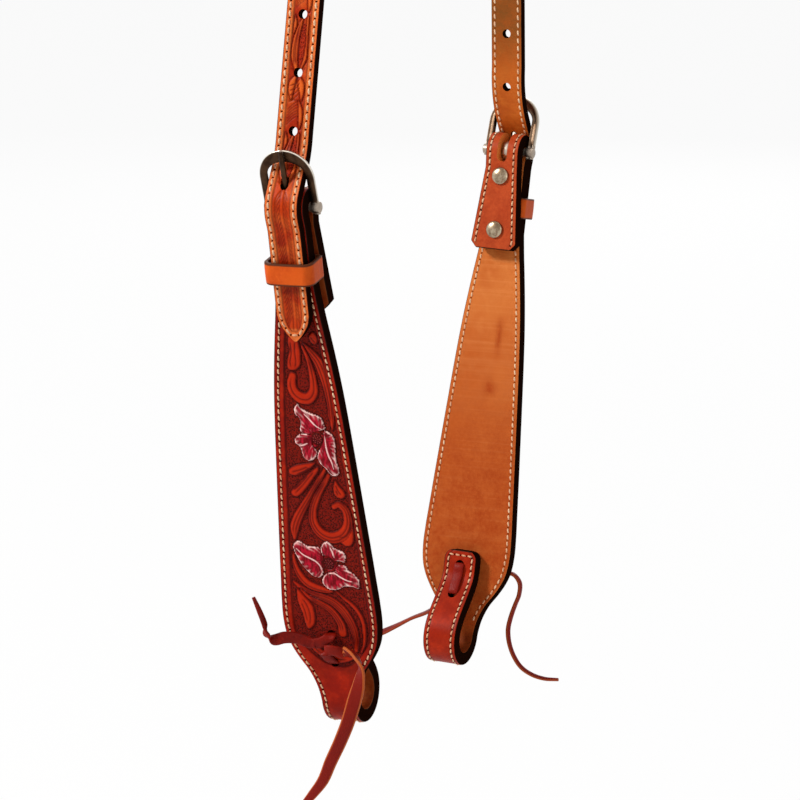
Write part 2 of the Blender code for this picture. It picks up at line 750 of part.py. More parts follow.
def buckle_frame_matrix(side):
    """The buckle's own frame: X across, Y from the heel bar to the toe, Z off its face."""
    frame = heel_frame(side)
    toward_toe = frame.to_3x3() @ from_cheek(0, sin(BUCKLE_TILT), -cos(BUCKLE_TILT))
    off_face = frame.to_3x3() @ from_cheek(0, cos(BUCKLE_TILT), sin(BUCKLE_TILT))
    across = toward_toe.cross(off_face)
    return facing(frame.translation, across, off_face)


def make_buckle(side):
    matrix = buckle_frame_matrix(side)
    heel_corner = limb_inner_half + LIMB_WIDTH * 0.62
    outer = [(heel_corner, -HEEL_REACH), (limb_outer_half, HEEL_REACH / 2)]
    for across, up in arc((0, 0), 1, 0, pi):
        outer.append((limb_outer_half * across, TOE_REACH - TOE_OUTER_RISE * (1 - up)))
    outer += [(-limb_outer_half, HEEL_REACH / 2), (-heel_corner, -HEEL_REACH)]
    inner = [(-limb_inner_half, -HEEL_REACH)]
    for turn in [pi * (1 - i / 16) for i in range(17)]:
        across = limb_inner_half * cos(turn)
        inner.append((across, toe_inner_edge(abs(across))))
    inner += [(limb_inner_half, -HEEL_REACH)]
    ring = flat_outline(side + "_buckle_frame", outer + inner, LIMB_THICKNESS)
    ring.matrix_world = matrix
    edge = ring.modifiers.new("rounded_edges", "BEVEL")
    edge.width = LIMB_EDGE
    edge.segments = 2
    edge.limit_method = "ANGLE"
    edge.angle_limit = radians(50)
    link_piece(ring, "polished_steel")
    bm = bmesh.new()
    bmesh.ops.create_cone(
        bm, cap_ends=True, segments=HOLE_SIDES, radius1=BAR_RADIUS, radius2=BAR_RADIUS,
        depth=2 * limb_inner_half + LIMB_WIDTH,
    )
    bar = mesh_object(side + "_heel_bar", bm)
    bar.matrix_world = matrix @ Matrix.Rotation(pi / 2, 4, "Y")
    cutter(bar)
    join = ring.modifiers.new("heel_bar", "BOOLEAN")
    join.operation = "UNION"
    join.solver = "EXACT"
    join.object = bar


def make_tongue(side):
    matrix = buckle_frame_matrix(side)
    ring_end = radians(255)
    hook = [(0, y, z) for z, y in arc((0, 0), tongue_ring, -ring_end, 0, 2 * ARC_STEP)]
    toe_middle = toe_inner_reach + TOE_WIDTH / 2
    shaft = [(0, toe_middle, tongue_lift), (0, TOE_REACH + TONGUE_OVERHANG, tongue_lift)]
    wire = tube(side + "_buckle_tongue", hook + shaft, TONGUE_RADIUS, TONGUE_TIP_RADIUS)
    wire.matrix_world = matrix
    link_piece(wire, "polished_steel")


def make_tie(side):
    """The tie's run through the cheek and the bit tab, and its knot on the front."""
    frame = heel_frame(side)
    turn = frame.to_3x3()
    off_seam = GAP / 2 + CHEEK_OUTER + GAP + TIE_CORD_RADIUS
    front = leaf_face + GAP / 2
    points = [(front, tie_drop_upper), (bit_tab_seam - CHEEK_OUTER, tie_drop_upper)]
    for share in TIE_RUN_SHARES:
        drop = tie_drop_upper + TIE_SPACING * share
        slope = (bit_tab_at(drop + GAP) - bit_tab_at(drop - GAP)) / (2 * GAP)
        off = Vector((-1, slope)).normalized() * off_seam
        points.append((bit_tab_at(drop) + off.x, drop + off.y))
    points += [(bit_tab_at(tie_drop_lower) - off_seam, tie_drop_lower), (front, tie_drop_lower)]
    run = tube(side + "_tie_run", [from_cheek(0, n, w) for n, w in points], TIE_CORD_RADIUS)
    run.matrix_world = frame
    link_piece(run, "tie_lace")
    bm = bmesh.new()
    bmesh.ops.create_cube(bm, size=1, matrix=Matrix.Diagonal((KNOT_WIDTH, KNOT_DEPTH, KNOT_HEIGHT, 1)))
    knot = mesh_object(side + "_tie_knot", bm)
    middle = (tie_drop_upper + tie_drop_lower) / 2
    place = frame @ from_cheek(0, leaf_face + 2 * GAP + KNOT_DEPTH / 2, middle)
    knot.matrix_world = Matrix.Translation(place) @ turn.to_4x4()
    soft = knot.modifiers.new("rounded", "BEVEL")
    soft.width = KNOT_EDGE
    soft.segments = 2
    link_piece(knot, "tie_lace")


def make_tails():
    for name, (side, sign, route) in TAIL_ROUTES.items():
        frame = heel_frame(side)
        middle = (tie_drop_upper + tie_drop_lower) / 2
        lift = leaf_face + 2 * GAP + KNOT_DEPTH / 2
        starts = []
        for run in (0, TIE_TAIL_RADIUS):
            out = sign * (KNOT_WIDTH / 2 + GAP + run)
            starts.append(frame @ from_cheek(out, lift, middle))
        print(name, [tuple(round(value, 4) for value in point) for point in starts])
        link_piece(tube(name, starts + list(route), TIE_TAIL_RADIUS), "tie_lace")


def shade_round_pieces():
    for obj in pieces.objects:
        if obj.type == "MESH":
            obj.data.shade_smooth()
            obj.data.set_sharp_from_angle(angle=radians(35))


clear_scene()
pieces = make_collection("western_headstall")
cutters = make_collection("cutters", helper=True)
make_crown()
for side in ("near", "far"):
    make_cheek(side)
    make_screws(side)
    make_keeper(side)
    make_buckle(side)
    make_tongue(side)
    make_tie(side)
make_tails()
shade_round_pieces()
print("headstall pieces:", len(pieces.objects))
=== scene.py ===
from math import acos, atan2, cos, pi, radians, sin

import bmesh
import bpy
import numpy as np
from mathutils import Matrix, Vector


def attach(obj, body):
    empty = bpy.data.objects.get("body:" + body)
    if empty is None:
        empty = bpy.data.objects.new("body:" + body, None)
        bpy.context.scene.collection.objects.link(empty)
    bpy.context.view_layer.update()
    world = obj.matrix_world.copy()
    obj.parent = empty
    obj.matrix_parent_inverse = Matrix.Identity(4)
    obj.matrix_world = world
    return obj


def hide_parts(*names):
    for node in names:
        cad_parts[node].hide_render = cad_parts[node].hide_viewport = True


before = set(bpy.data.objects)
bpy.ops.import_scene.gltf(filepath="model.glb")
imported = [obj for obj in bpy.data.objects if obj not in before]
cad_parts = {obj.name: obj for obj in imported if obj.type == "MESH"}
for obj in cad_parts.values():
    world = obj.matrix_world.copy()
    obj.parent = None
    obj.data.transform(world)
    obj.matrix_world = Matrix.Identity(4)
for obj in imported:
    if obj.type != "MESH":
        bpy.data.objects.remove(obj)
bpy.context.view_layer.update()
gap = 0.0003  # room between pieces that touch
print("frame loaded:", len(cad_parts), "nodes")

shot = {
    "from": (0.79812028, -1.66520546, -0.01945627),
    "at": (-0.00359843, -0.01364679, -0.3746),
    "lens": 181.144656,
    "sensor": 36.0,
    "clipStart": 0.01,
}


def setCamera():
    data = bpy.data.cameras.new("photoCamera")
    data.lens, data.sensor_width, data.clip_start = shot["lens"], shot["sensor"], shot["clipStart"]
    camera = bpy.data.objects.new("photoCamera", data)
    bpy.context.scene.collection.objects.link(camera)
    camera.location = shot["from"]
    sight = Vector(shot["at"]) - Vector(shot["from"])
    camera.rotation_euler = sight.to_track_quat("-Z", "Y").to_euler()
    bpy.context.scene.camera = camera


setCamera()
print("camera set")

hang = {  # where each heel bar hangs, and how each cheek leans, in metres and degrees
    "heelOut": {"near": -0.1273, "far": 0.0998},
    "heelDrop": {"near": 0.2688, "far": 0.2712},
    "turn": {"near": 3.0, "far": 181.3},
    "lean": {"near": 11.5, "far": 9.6},
    "roll": {"near": -0.8, "far": -2.4},
}
strap = {
    "width": 0.0159, "outer": 0.0022, "lining": 0.0019, "crownRadius": 0.0950,
    "billet": 0.0590, "point": 0.0125, "bend": 0.0450,
    "holeSpacing": 0.0254, "holeRadius": 0.0021, "holes": 7,
    "pointShares": ((0.0, 0.06), (0.12, 0.26), (0.36, 0.57), (0.66, 0.86), (1.0, 1.0)),
}
cheek = {
    "outer": 0.0033, "lining": 0.0024, "length": 0.2500, "width": 0.0468, "fold": 0.0170,
    "neck": 0.0170, "tab": 0.0480, "tabEnd": 0.0238, "tabClip": 0.0032, "shoulder": 0.0090,
    "loopDepth": 0.0160, "bitTabOverlap": 0.0100, "bitTabPoint": 0.0040, "bitTabTip": 0.0090,
    "loopLength": 0.0450, "keeperWall": 0.0018,
    "outline": (
        (0.000, 0.363), (0.036, 0.363), (0.090, 0.375), (0.140, 0.405), (0.190, 0.465),
        (0.240, 0.540), (0.290, 0.610), (0.340, 0.670), (0.400, 0.727), (0.460, 0.776),
        (0.520, 0.823), (0.580, 0.869), (0.640, 0.915), (0.700, 0.958), (0.745, 0.990),
        (0.780, 1.000), (0.800, 0.985), (0.820, 0.945), (0.840, 0.860), (0.860, 0.735),
        (0.884, 0.560), (0.912, 0.430), (0.944, 0.363), (1.000, 0.363),
    ),
}
buckle = {
    "bar": 0.0022, "limb": 0.0041, "toe": 0.0057, "thick": 0.0028, "clear": 0.0005,
    "reach": 0.0275, "heel": 0.0030, "innerRise": 0.0064, "outerRise": 0.0135, "tilt": radians(8.5),
    "wire": 0.0013, "swing": radians(6.0), "slotWidth": 0.0052, "slotDrop": 0.0030, "ease": 0.0006,
}
tie = {"spacing": 0.0135, "aboveLoopEnd": 0.0480, "hole": 0.0023}
screwDrops = {"upper": 0.0125, "lower": 0.0385}
rowSteps = {  # where the rows of the layers lie close together, in metres
    "clip": 0.0034, "taperTop": 0.0438, "taperWide": 0.0448, "plainTop": 0.010, "plain": 0.001,
    "carvedTop": 0.047, "carvedEnd": 0.2225, "carved": 0.00038, "loopTop": 0.2235, "tipRun": 0.005,
    "tipRound": 0.0045, "strapTip": 0.0135, "strap": 0.00036, "poll": 0.0008, "leg": 0.150,
}

strapHalf = strap["width"] / 2
cheekHalf = cheek["width"] / 2
leafInner = cheek["keeperWall"] / 2 + gap
leafSeam = leafInner + cheek["lining"] + gap / 2
leafFace = leafSeam + gap / 2 + cheek["outer"]
barSeam = buckle["bar"] + gap + cheek["lining"] + gap / 2
strapLift = gap + strap["lining"] + gap / 2
strapOuter = gap / 2 + strap["outer"]
billetSeam = leafFace + strapLift
foldSeam = barSeam + gap / 2 + cheek["outer"] + strapLift
billetFace = billetSeam + strapOuter
limbInner = cheek["fold"] / 2 + buckle["clear"]
limbOuter = limbInner + buckle["limb"]
toeInner = buckle["reach"] - buckle["toe"]
tongueRing = buckle["bar"] + gap + buckle["wire"]
tongueLift = buckle["thick"] / 2 + gap + buckle["wire"]
loopRadius = cheek["loopDepth"] / 2 + cheek["lining"] + gap / 2
loopCentre = cheek["length"] - loopRadius - gap / 2 - cheek["outer"]
bitTabSeam = leafInner - gap - cheek["lining"] - gap / 2
bitTabTop = cheek["length"] - cheek["loopLength"]
tieUpper = cheek["length"] - tie["aboveLoopEnd"]
tieLower = tieUpper + tie["spacing"]
crownCentre = Vector((0, -(strap["crownRadius"] - gap / 2 - strap["lining"])))


def heelFrame(side):
    place = Matrix.Translation((0, hang["heelOut"][side], -hang["heelDrop"][side]))
    turn = Matrix.Rotation(radians(hang["turn"][side]), 4, "Z")
    lean = Matrix.Rotation(radians(hang["lean"][side]), 4, "X")
    roll = Matrix.Rotation(radians(hang["roll"][side]), 4, "Y")
    return place @ turn @ lean @ roll


def fromCheek(across, outward, down):
    return Vector((across, -outward, -down))


def cheekWay(matrix, across, outward, down):  # the same, turned but not moved
    return matrix.to_3x3() @ fromCheek(across, outward, down)


def onCheek(side, points):  # points are (across, outward, down) from the heel bar
    matrix = np.array(heelFrame(side))
    local = np.array(points, float) * (1, -1, -1)
    return local @ matrix[:3, :3].T + matrix[:3, 3]


def smoothStep(share):
    share = np.clip(share, 0, 1)
    return share * share * (3 - 2 * share)


def smoothThrough(places, values, at):  # a smooth curve through values at these places
    places, values, at = (np.array(part, float) for part in (places, values, at))
    slopes = np.gradient(values, places, axis=0)
    first = np.clip(np.searchsorted(places, at) - 1, 0, len(places) - 2)
    span = places[first + 1] - places[first]
    share = np.clip((at - places[first]) / span, 0, 1)
    if values.ndim > 1:
        span, share = span[:, None], share[:, None]
    a, b = values[first], values[first + 1]
    rise, fall = slopes[first] * span, slopes[first + 1] * span
    s2, s3 = share**2, share**3
    return (2 * s3 - 3 * s2 + 1) * a + (s3 - 2 * s2 + share) * rise + (3 * s2 - 2 * s3) * b + (s3 - s2) * fall


def arcPoints(centre, radius, start, end, step):
    turns = np.linspace(start, end, max(3, round(abs(end - start) / step) + 1))
    return np.column_stack([centre[0] + radius * np.cos(turns), centre[1] + radius * np.sin(turns)])


def unit(vectors):
    return vectors / np.linalg.norm(vectors, axis=-1, keepdims=True)


def lengthAlong(points):
    return np.concatenate([[0], np.cumsum(np.linalg.norm(np.diff(points, axis=0), axis=1))])


def readAt(at, along, values):  # rows of values, read at other distances along them
    return np.column_stack([np.interp(at, along, part) for part in values.T])


def bell(reach):  # 1 in the middle of a mark, falling away on both sides
    return np.exp(-(reach**2))


def strip(outward, down, half):  # rows along a seam, where a single value fills the strip
    return np.column_stack(np.broadcast_arrays(outward, down, half))


def headings(points):  # which way a line runs at each of its points
    runs = unit(np.diff(points, axis=0))
    return unit(np.vstack([runs[:1], runs[:-1] + runs[1:], runs[-1:]]))


def fromEnds(along):
    return np.minimum(along, along[-1] - along)


def seamAt(drop, atBar, below):
    return atBar + (below - atBar) * smoothStep(drop / cheek["shoulder"])


def bitTabAt(drop):
    farSide = leafSeam - 2 * loopRadius
    share = (loopCentre - drop) / (loopCentre - bitTabTop)
    return farSide + (bitTabSeam - farSide) * smoothStep(share)


def cheekHalfAt(drop):
    places, shares = zip(*cheek["outline"])
    half = smoothThrough(places, shares, np.array(drop) / cheek["length"]) * cheekHalf
    return np.maximum(half, cheek["neck"] / 2)


def layRows(side, route, sign):  # route rows are (outward, down, half width) along a seam
    route = np.array(route)
    keep = np.concatenate([[True], np.linalg.norm(np.diff(route[:, :2], axis=0), axis=1) > 1e-5])
    route = route[keep]
    along = headings(route[:, :2])
    turn = np.array(heelFrame(side))[:3, :3]
    normal = np.column_stack([np.zeros(len(along)), -along[:, 1], along[:, 0]]) * sign @ turn.T
    place = onCheek(side, np.column_stack([np.zeros(len(route)), route[:, :2]]))
    across = np.repeat((turn @ (1.0, 0, 0))[None], len(route), 0)
    return {
        "place": place, "across": across, "normal": normal, "half": route[:, 2],
        "route": route[:, :2], "along": lengthAlong(place),
    }


def cheekRows(side):  # up the tab, over the heel bar, down the cheek, round the loop, up its tab
    tabHalf, foldHalf, neckHalf, tipHalf = (cheek[key] / 2 for key in ("tabEnd", "fold", "neck", "bitTabTip"))
    shoulder = cheek["shoulder"]
    w = np.concatenate([
        cheek["tab"] - np.linspace(0, rowSteps["clip"], 12), np.linspace(rowSteps["taperTop"], shoulder, 34),
    ])
    half = foldHalf + (tabHalf - foldHalf) * (w - shoulder) / (rowSteps["taperWide"] - shoulder)
    clip = np.maximum(cheek["tabClip"] - (cheek["tab"] - w), 0)
    parts = [strip(-leafSeam, w, np.minimum(half, tabHalf) - clip * 0.9)]
    w = np.linspace(shoulder, 0, 16)
    parts.append(strip(-seamAt(w, barSeam, leafSeam), w, foldHalf))
    parts.append(strip(*arcPoints((0, 0), barSeam, pi, 2 * pi, radians(6)).T, foldHalf))
    w = np.linspace(0, shoulder, 16)
    parts.append(strip(seamAt(w, barSeam, leafSeam), w, cheekHalfAt(w)))
    w = np.concatenate([
        np.arange(rowSteps["plainTop"], rowSteps["carvedTop"], rowSteps["plain"]),
        np.arange(rowSteps["carvedTop"], rowSteps["carvedEnd"], rowSteps["carved"]),
        np.linspace(rowSteps["loopTop"], loopCentre, 12),
    ])
    parts.append(strip(leafSeam, w, cheekHalfAt(w)))
    bend = arcPoints((leafSeam - loopRadius, loopCentre), loopRadius, 0, pi, radians(5))
    parts.append(strip(*bend.T, neckHalf))
    w = np.linspace(loopCentre, bitTabTop, 30)
    parts.append(strip(bitTabAt(w), w, neckHalf))
    tip = bitTabTop - cheek["bitTabOverlap"]
    w = np.concatenate([
        np.linspace(bitTabTop, tip + rowSteps["tipRun"], 5), tip + np.linspace(rowSteps["tipRound"], 0, 14),
    ])
    share = np.clip((w - tip) / cheek["bitTabPoint"], 0, 1)
    parts.append(strip(bitTabSeam, w, tipHalf + (neckHalf - tipHalf) * np.sqrt(1 - (1 - share) ** 1.6)))
    return layRows(side, np.vstack(parts), 1)


def toeInnerEdge(offMiddle):
    share = min(offMiddle / limbInner, 1)
    return toeInner - buckle["innerRise"] * (1 - (1 - share**2) ** 0.5)


def toeCorner():  # the toe's inner rear edge at the strap's edges, as (outward, up)
    reach, under, tilt = toeInnerEdge(strapHalf), buckle["thick"] / 2, buckle["tilt"]
    return Vector((reach * sin(tilt) - under * cos(tilt), reach * cos(tilt) + under * sin(tilt)))


def tongueLine():
    towardToe = Vector((sin(buckle["tilt"]), cos(buckle["tilt"])))
    offFace = Vector((towardToe.y, -towardToe.x))
    start = offFace * tongueRing
    return start, towardToe * (toeInner + buckle["toe"] / 2) + offFace * tongueLift


def lineBetween(insideCentre, insideRadius, outsideCentre, outsideRadius):
    apart = outsideCentre - insideCentre
    middle = atan2(apart.y, apart.x)
    spread = acos((insideRadius + outsideRadius) / apart.length)
    turn = min((middle - spread, middle + spread), key=abs)
    return Vector((cos(turn), sin(turn))), turn


def strapCrossing():
    return lineBetween(Vector((0, 0)), foldSeam, toeCorner(), strapOuter + gap)


def bendCentre():
    return toeCorner() + strapCrossing()[0] * (strap["bend"] - strapOuter - gap)


def tongueCrossing():
    normal, _ = strapCrossing()
    start, end = tongueLine()
    along = end - start
    return start + along * ((foldSeam - start.dot(normal)) / along.dot(normal))


def billetRoute(legLean):
    shares = np.linspace(0, 1, 28) ** 1.4
    widths = smoothThrough(*zip(*strap["pointShares"]), shares)
    widths = np.minimum(widths, 1) * np.sqrt(np.clip(shares * 14 + 0.04, 0, 1))
    flat = np.linspace(strap["billet"] - strap["point"], cheek["shoulder"], 60)
    over = np.linspace(cheek["shoulder"], 0.0002, 16)
    lean = strapCrossing()[1]
    bends = (
        arcPoints((0, 0), foldSeam, 0, lean, radians(4)),
        arcPoints(bendCentre(), strap["bend"], lean + pi, legLean + pi, radians(1)),
    )
    return np.vstack([
        strip(billetSeam, strap["billet"] - shares * strap["point"], strapHalf * widths),
        strip(billetSeam, flat, strapHalf),
        strip(seamAt(over, foldSeam, billetSeam), over, strapHalf),
        *(strip(*(bend * (1, -1)).T, strapHalf) for bend in bends),
    ])


def sideRows(side):  # one side of the crown strap, from its tip to the top of the arch
    matrix, sign = heelFrame(side), -1 if side == "near" else 1
    bend = bendCentre()
    place = matrix @ fromCheek(0, bend.x, -bend.y)
    _, lean = lineBetween(crownCentre, strap["crownRadius"], Vector((place.y * sign, place.z)), strap["bend"])
    legNormal = Vector((0, cos(lean) * sign, sin(lean)))
    local = matrix.to_3x3().inverted() @ legNormal
    rows = layRows(side, billetRoute(atan2(local.z, -local.y)), -1)
    rows["across"] *= -sign
    arch = arcPoints(crownCentre, strap["crownRadius"], lean, pi / 2, radians(1.5))
    turns = np.arctan2(arch[:, 1] - crownCentre.y, arch[:, 0])
    archPlace = np.column_stack([np.zeros(len(arch)), arch[:, 0] * sign, arch[:, 1]])
    archNormal = np.column_stack([np.zeros(len(arch)), np.cos(turns) * sign, np.sin(turns)])
    share = np.linspace(0, 1, 60)[1:-1, None]
    legPlace = rows["place"][-1] + (archPlace[0] - rows["place"][-1]) * share
    level = unit(rows["across"][-1] + ((1, 0, 0) - rows["across"][-1]) * share)
    straight = unit(archPlace[0] - rows["place"][-1])
    normal = unit(np.cross(level, straight))
    normal *= np.sign(normal @ np.array(legNormal))[:, None]
    rows["place"] = np.vstack([rows["place"], legPlace, archPlace])
    rows["across"] = np.vstack([rows["across"], level, np.tile((1.0, 0, 0), (len(arch), 1))])
    rows["normal"] = np.vstack([rows["normal"], normal, archNormal])
    rows["half"] = np.concatenate([rows["half"], np.full(len(level) + len(arch), strapHalf)])
    return rows


def evenRows(rows):  # the same rows read again, close on the legs and wider over the poll
    along = lengthAlong(rows["place"])
    tip, leg, total = rowSteps["strapTip"], rowSteps["leg"], along[-1]
    legEnd = np.arange(tip, leg, rowSteps["strap"])
    arch = np.arange(leg, total - leg, rowSteps["poll"])
    at = np.concatenate([along[along < tip], legEnd, arch, total - legEnd[::-1], along[along > total - tip]])
    made = {key: readAt(at, along, rows[key]) for key in ("place", "across", "normal")}
    made["across"], made["normal"] = unit(made["across"]), unit(made["normal"])
    return dict(made, along=at, half=np.interp(at, along, rows["half"]))


def strapRows():
    near, far = sideRows("near"), sideRows("far")
    keys = ("place", "across", "normal", "half")
    return evenRows({key: np.concatenate([near[key], far[key][-2::-1]]) for key in keys})


def thinned(rows, every):  # fewer rows, for a plain layer
    last = len(rows["half"]) - 1
    pick = np.unique(np.append(np.arange(0, last + 1, every), last))
    return {key: value[pick] for key, value in rows.items()}


def makeMesh(name, points, faces, materials=()):
    mesh = bpy.data.meshes.new(name)
    mesh.from_pydata([tuple(point) for point in points], [], faces)
    for finish in materials:
        mesh.materials.append(finish)
    made = bpy.data.objects.new(name, mesh)
    bpy.context.scene.collection.objects.link(made)
    return made


def facesOut(mesh):
    bm = bmesh.new()
    bm.from_mesh(mesh)
    bmesh.ops.recalc_face_normals(bm, faces=bm.faces)
    bm.to_mesh(mesh)
    bm.free()


def pickOnly(obj):
    bpy.ops.object.select_all(action="DESELECT")
    obj.select_set(True)
    bpy.context.view_layer.objects.active = obj


def putColours(mesh, name, colours):  # per vertex colours, kept on the corners so cuts keep them
    corners = np.zeros(len(mesh.loops), int)
    mesh.loops.foreach_get("vertex_index", corners)
    layer = mesh.attributes.new(name, "FLOAT_COLOR", "CORNER")
    layer.data.foreach_set("color", np.ascontiguousarray(colours[corners], dtype=np.float32).ravel())


def tubeFaces(rowCount, ringCount):
    faces = []
    for i in range(rowCount - 1):
        base = i * ringCount
        for j in range(ringCount):
            k = (j + 1) % ringCount
            faces.append((base + j, base + ringCount + j, base + ringCount + k, base + k))
    faces.append(tuple(range(ringCount)))
    faces.append(tuple(range((rowCount - 1) * ringCount, rowCount * ringCount))[::-1])
    return faces


layer = {
    "corner": 4, "under": 10, "sideFoot": 0.00015, "underInset": 0.0001, "underLift": 0.00001,
    "narrowest": 0.4,
}


def leatherLayer(name, rows, thick, outward, columns, rounding, finish, carved=None, tone=None, shade=0):
    rise, tooling = carved or (0, 0)
    half = rows["half"][:, None]
    count = len(half)
    flat = np.maximum(half - rounding, half * layer["narrowest"])
    nearEnd = fromEnds(rows["along"])[:, None]
    endShare = 1 - np.clip(nearEnd / rounding, 0, 1)
    top = thick - rounding * (1 - np.sqrt(np.clip(1 - endShare**2, 0, 1)))
    lift = top + rise * np.ones((count, columns))
    turns = radians(90) * np.arange(1, layer["corner"] + 1)[None] / layer["corner"]
    cornerU = flat + (half - flat) * np.sin(turns)
    cornerN = top - rounding * (1 - np.cos(turns))
    face = np.linspace(-1, 1, columns)[None] * flat
    under = np.linspace(1, -1, layer["under"])[None] * (half - layer["underInset"])
    sideN = np.full((count, 1), layer["sideFoot"])
    underN = np.full((count, layer["under"]), layer["underLift"])
    u = np.hstack([face, cornerU, half, under, -half, -cornerU[:, ::-1]])
    n = np.hstack([lift, cornerN, sideN, underN, sideN, cornerN[:, ::-1]])
    points = rows["place"][:, None] + rows["across"][:, None] * u[..., None]
    points = points + rows["normal"][:, None] * (n * outward)[..., None]
    ring = u.shape[1]
    back = columns + layer["corner"] + 1
    backEnd = back + layer["under"]
    slots = [finish, materials["holeShade"], materials["edge"]]
    made = makeMesh(name, points.reshape(-1, 3), tubeFaces(count, ring), slots)
    around = np.tile(np.arange(ring), count - 1)
    onEdge = ((around > columns) & (around < back)) | ((around > backEnd - 2) & (around < ring - 1))
    made.data.polygons.foreach_set("material_index", np.append(onEdge * 2, [2, 2]).astype(np.int32))
    marks = np.zeros((count, ring, 4))  # burnished edge with painted shade in the bit loop, tone, and painted highlight on raised parts
    marks[:, columns:, 0] = 1
    marks[:, back:backEnd, 0] = 0.5
    marks[:, [columns, -1], 0] = 0.45
    marks[..., 0] = np.maximum(marks[..., 0], 1 - smoothStep((nearEnd - 0.0002) / 0.0005))
    # painted shade takes the dark edge colour
    marks[..., 0] = np.maximum(marks[..., 0], shade)
    if tone is not None and tone.ndim > 1:
        marks[:, :columns, 1] = tone
    elif tone is not None:
        marks[..., 1] = tone[:, None]
    fill = np.zeros((count, ring, 4))
    if carved:
        fill[:, :columns] = tooling
        # raised tooling is marked for a painted highlight that lightens its colour
        marks[:, :columns, 2] = smoothStep((rise + 0.00008) / 0.00022) * (tooling[..., 0] < 0.5)
    facesOut(made.data)
    putColours(made.data, "tooling", fill.reshape(-1, 4))
    putColours(made.data, "finish", marks.reshape(-1, 4))
    made.data.shade_smooth()
    return made


def coverWith(obj, finish):
    obj.data.materials.clear()
    obj.data.materials.append(finish)


def smoothBy(obj, degrees):
    pickOnly(obj)
    bpy.ops.object.shade_smooth_by_angle(angle=radians(degrees))


def joined(pieces):
    bpy.ops.object.select_all(action="DESELECT")
    for piece in pieces:
        piece.select_set(True)
    bpy.context.view_layer.objects.active = pieces[0]
    if len(pieces) > 1:
        bpy.ops.object.join()
    return pieces[0]


# the hole walls take the painted shade finish unless told otherwise
def cutAway(piece, tools, wall="holeShade"):
    for tool in tools:
        coverWith(tool, materials[wall])
    tool = joined(tools)
    step = piece.modifiers.new("holes", "BOOLEAN")
    step.operation, step.solver, step.object = "DIFFERENCE", "EXACT", tool
    step.material_mode = "TRANSFER"
    pickOnly(piece)
    bpy.ops.object.modifier_apply(modifier="holes")
    bpy.data.objects.remove(tool, do_unlink=True)
    smoothBy(piece, 38)


def wallUp(obj, wall, bevel):  # a sheet is given its thickness, then its edges are softened
    steps = {"wall": ("SOLIDIFY", wall), "soft": ("BEVEL", dict(bevel, limit_method="ANGLE"))}
    for name, (kind, fields) in steps.items():
        step = obj.modifiers.new(name, kind)
        for key, value in fields.items():
            setattr(step, key, value)
    pickOnly(obj)
    for name in steps:
        bpy.ops.object.modifier_apply(modifier=name)
    facesOut(obj.data)


def facing(origin, xAxis, zAxis):
    z = Vector(zAxis).normalized()
    y = z.cross(Vector(xAxis)).normalized()
    return Matrix.Translation(origin) @ Matrix((y.cross(z), y, z)).transposed().to_4x4()


def punch(radius, depth, matrix, length=0.0):  # a round punch, drawn out into a slot along its X
    bpy.ops.object.select_all(action="DESELECT")
    bpy.ops.mesh.primitive_cylinder_add(vertices=36, radius=radius, depth=depth)
    made = bpy.context.active_object
    for vertex in made.data.vertices:
        if vertex.co.x > 1e-6:
            vertex.co.x += length
    made.data.transform(matrix)
    made.matrix_world = Matrix.Identity(4)
    return made


def fillIn(tree, made, inputs):  # each input is linked to a socket or set to a value
    for key, value in inputs.items():
        if isinstance(value, bpy.types.NodeSocket):
            tree.links.new(value, made.inputs[key])
        else:
            made.inputs[key].default_value = value
    return made


def node(tree, kind, inputs=None, **fields):
    made = tree.nodes.new("ShaderNode" + kind)
    for key, value in fields.items():
        setattr(made, key, value)
    return fillIn(tree, made, inputs or {})


def tint(red, green, blue):  # a colour as seen on a screen, 0 to 255
    def linear(value):
        value /= 255
        return value / 12.92 if value <= 0.04045 else ((value + 0.055) / 1.055) ** 2.4
    return (linear(red), linear(green), linear(blue), 1)


def blend(tree, share, first, second):
    return node(tree, "Mix", {0: share, 6: first, 7: second}, data_type="RGBA", blend_type="MIX").outputs[2]


def layered(tree, colour, layers):  # each layer is a share and the colour laid on by it
    for share, over in layers:
        colour = blend(tree, share, colour, over)
    return colour


def maths(tree, kind, first, second=0.0):
    return node(tree, "Math", {0: first, 1: second}, operation=kind).outputs[0]


def spread(tree, value, low, high, to=(0.0, 1.0)):
    inputs = {0: value, 1: low, 2: high, 3: to[0], 4: to[1]}
    return node(tree, "MapRange", inputs, interpolation_type="SMOOTHSTEP").outputs[0]


def cloud(tree, where, scale, detail=3.0, rough=0.55, stretch=None):
    if stretch:
        where = node(tree, "Mapping", {"Vector": where, "Scale": stretch}).outputs[0]
    inputs = {"Vector": where, "Scale": scale, "Detail": detail, "Roughness": rough}
    return node(tree, "TexNoise", inputs).outputs[0]


def cells(tree, where, scale):
    return node(tree, "TexVoronoi", {"Vector": where, "Scale": scale}, feature="F1").outputs[0]


def bumped(tree, height, strength, distance, normal=None):
    inputs = {"Height": height, "Strength": strength, "Distance": distance}
    if normal:
        inputs["Normal"] = normal
    return node(tree, "Bump", inputs).outputs[0]


def newFinish(name, colour):
    made = bpy.data.materials.new(name)
    made.use_nodes = True
    made.diffuse_color = colour
    tree = made.node_tree
    return made, tree, tree.nodes["Principled BSDF"], node(tree, "TexCoord").outputs["Object"]


def marksOf(tree, name):  # the four parts of a colour attribute
    found = node(tree, "Attribute", attribute_name=name)
    parts = node(tree, "SeparateColor", {0: found.outputs["Color"]}).outputs
    return parts[0], parts[1], parts[2], found.outputs["Alpha"]


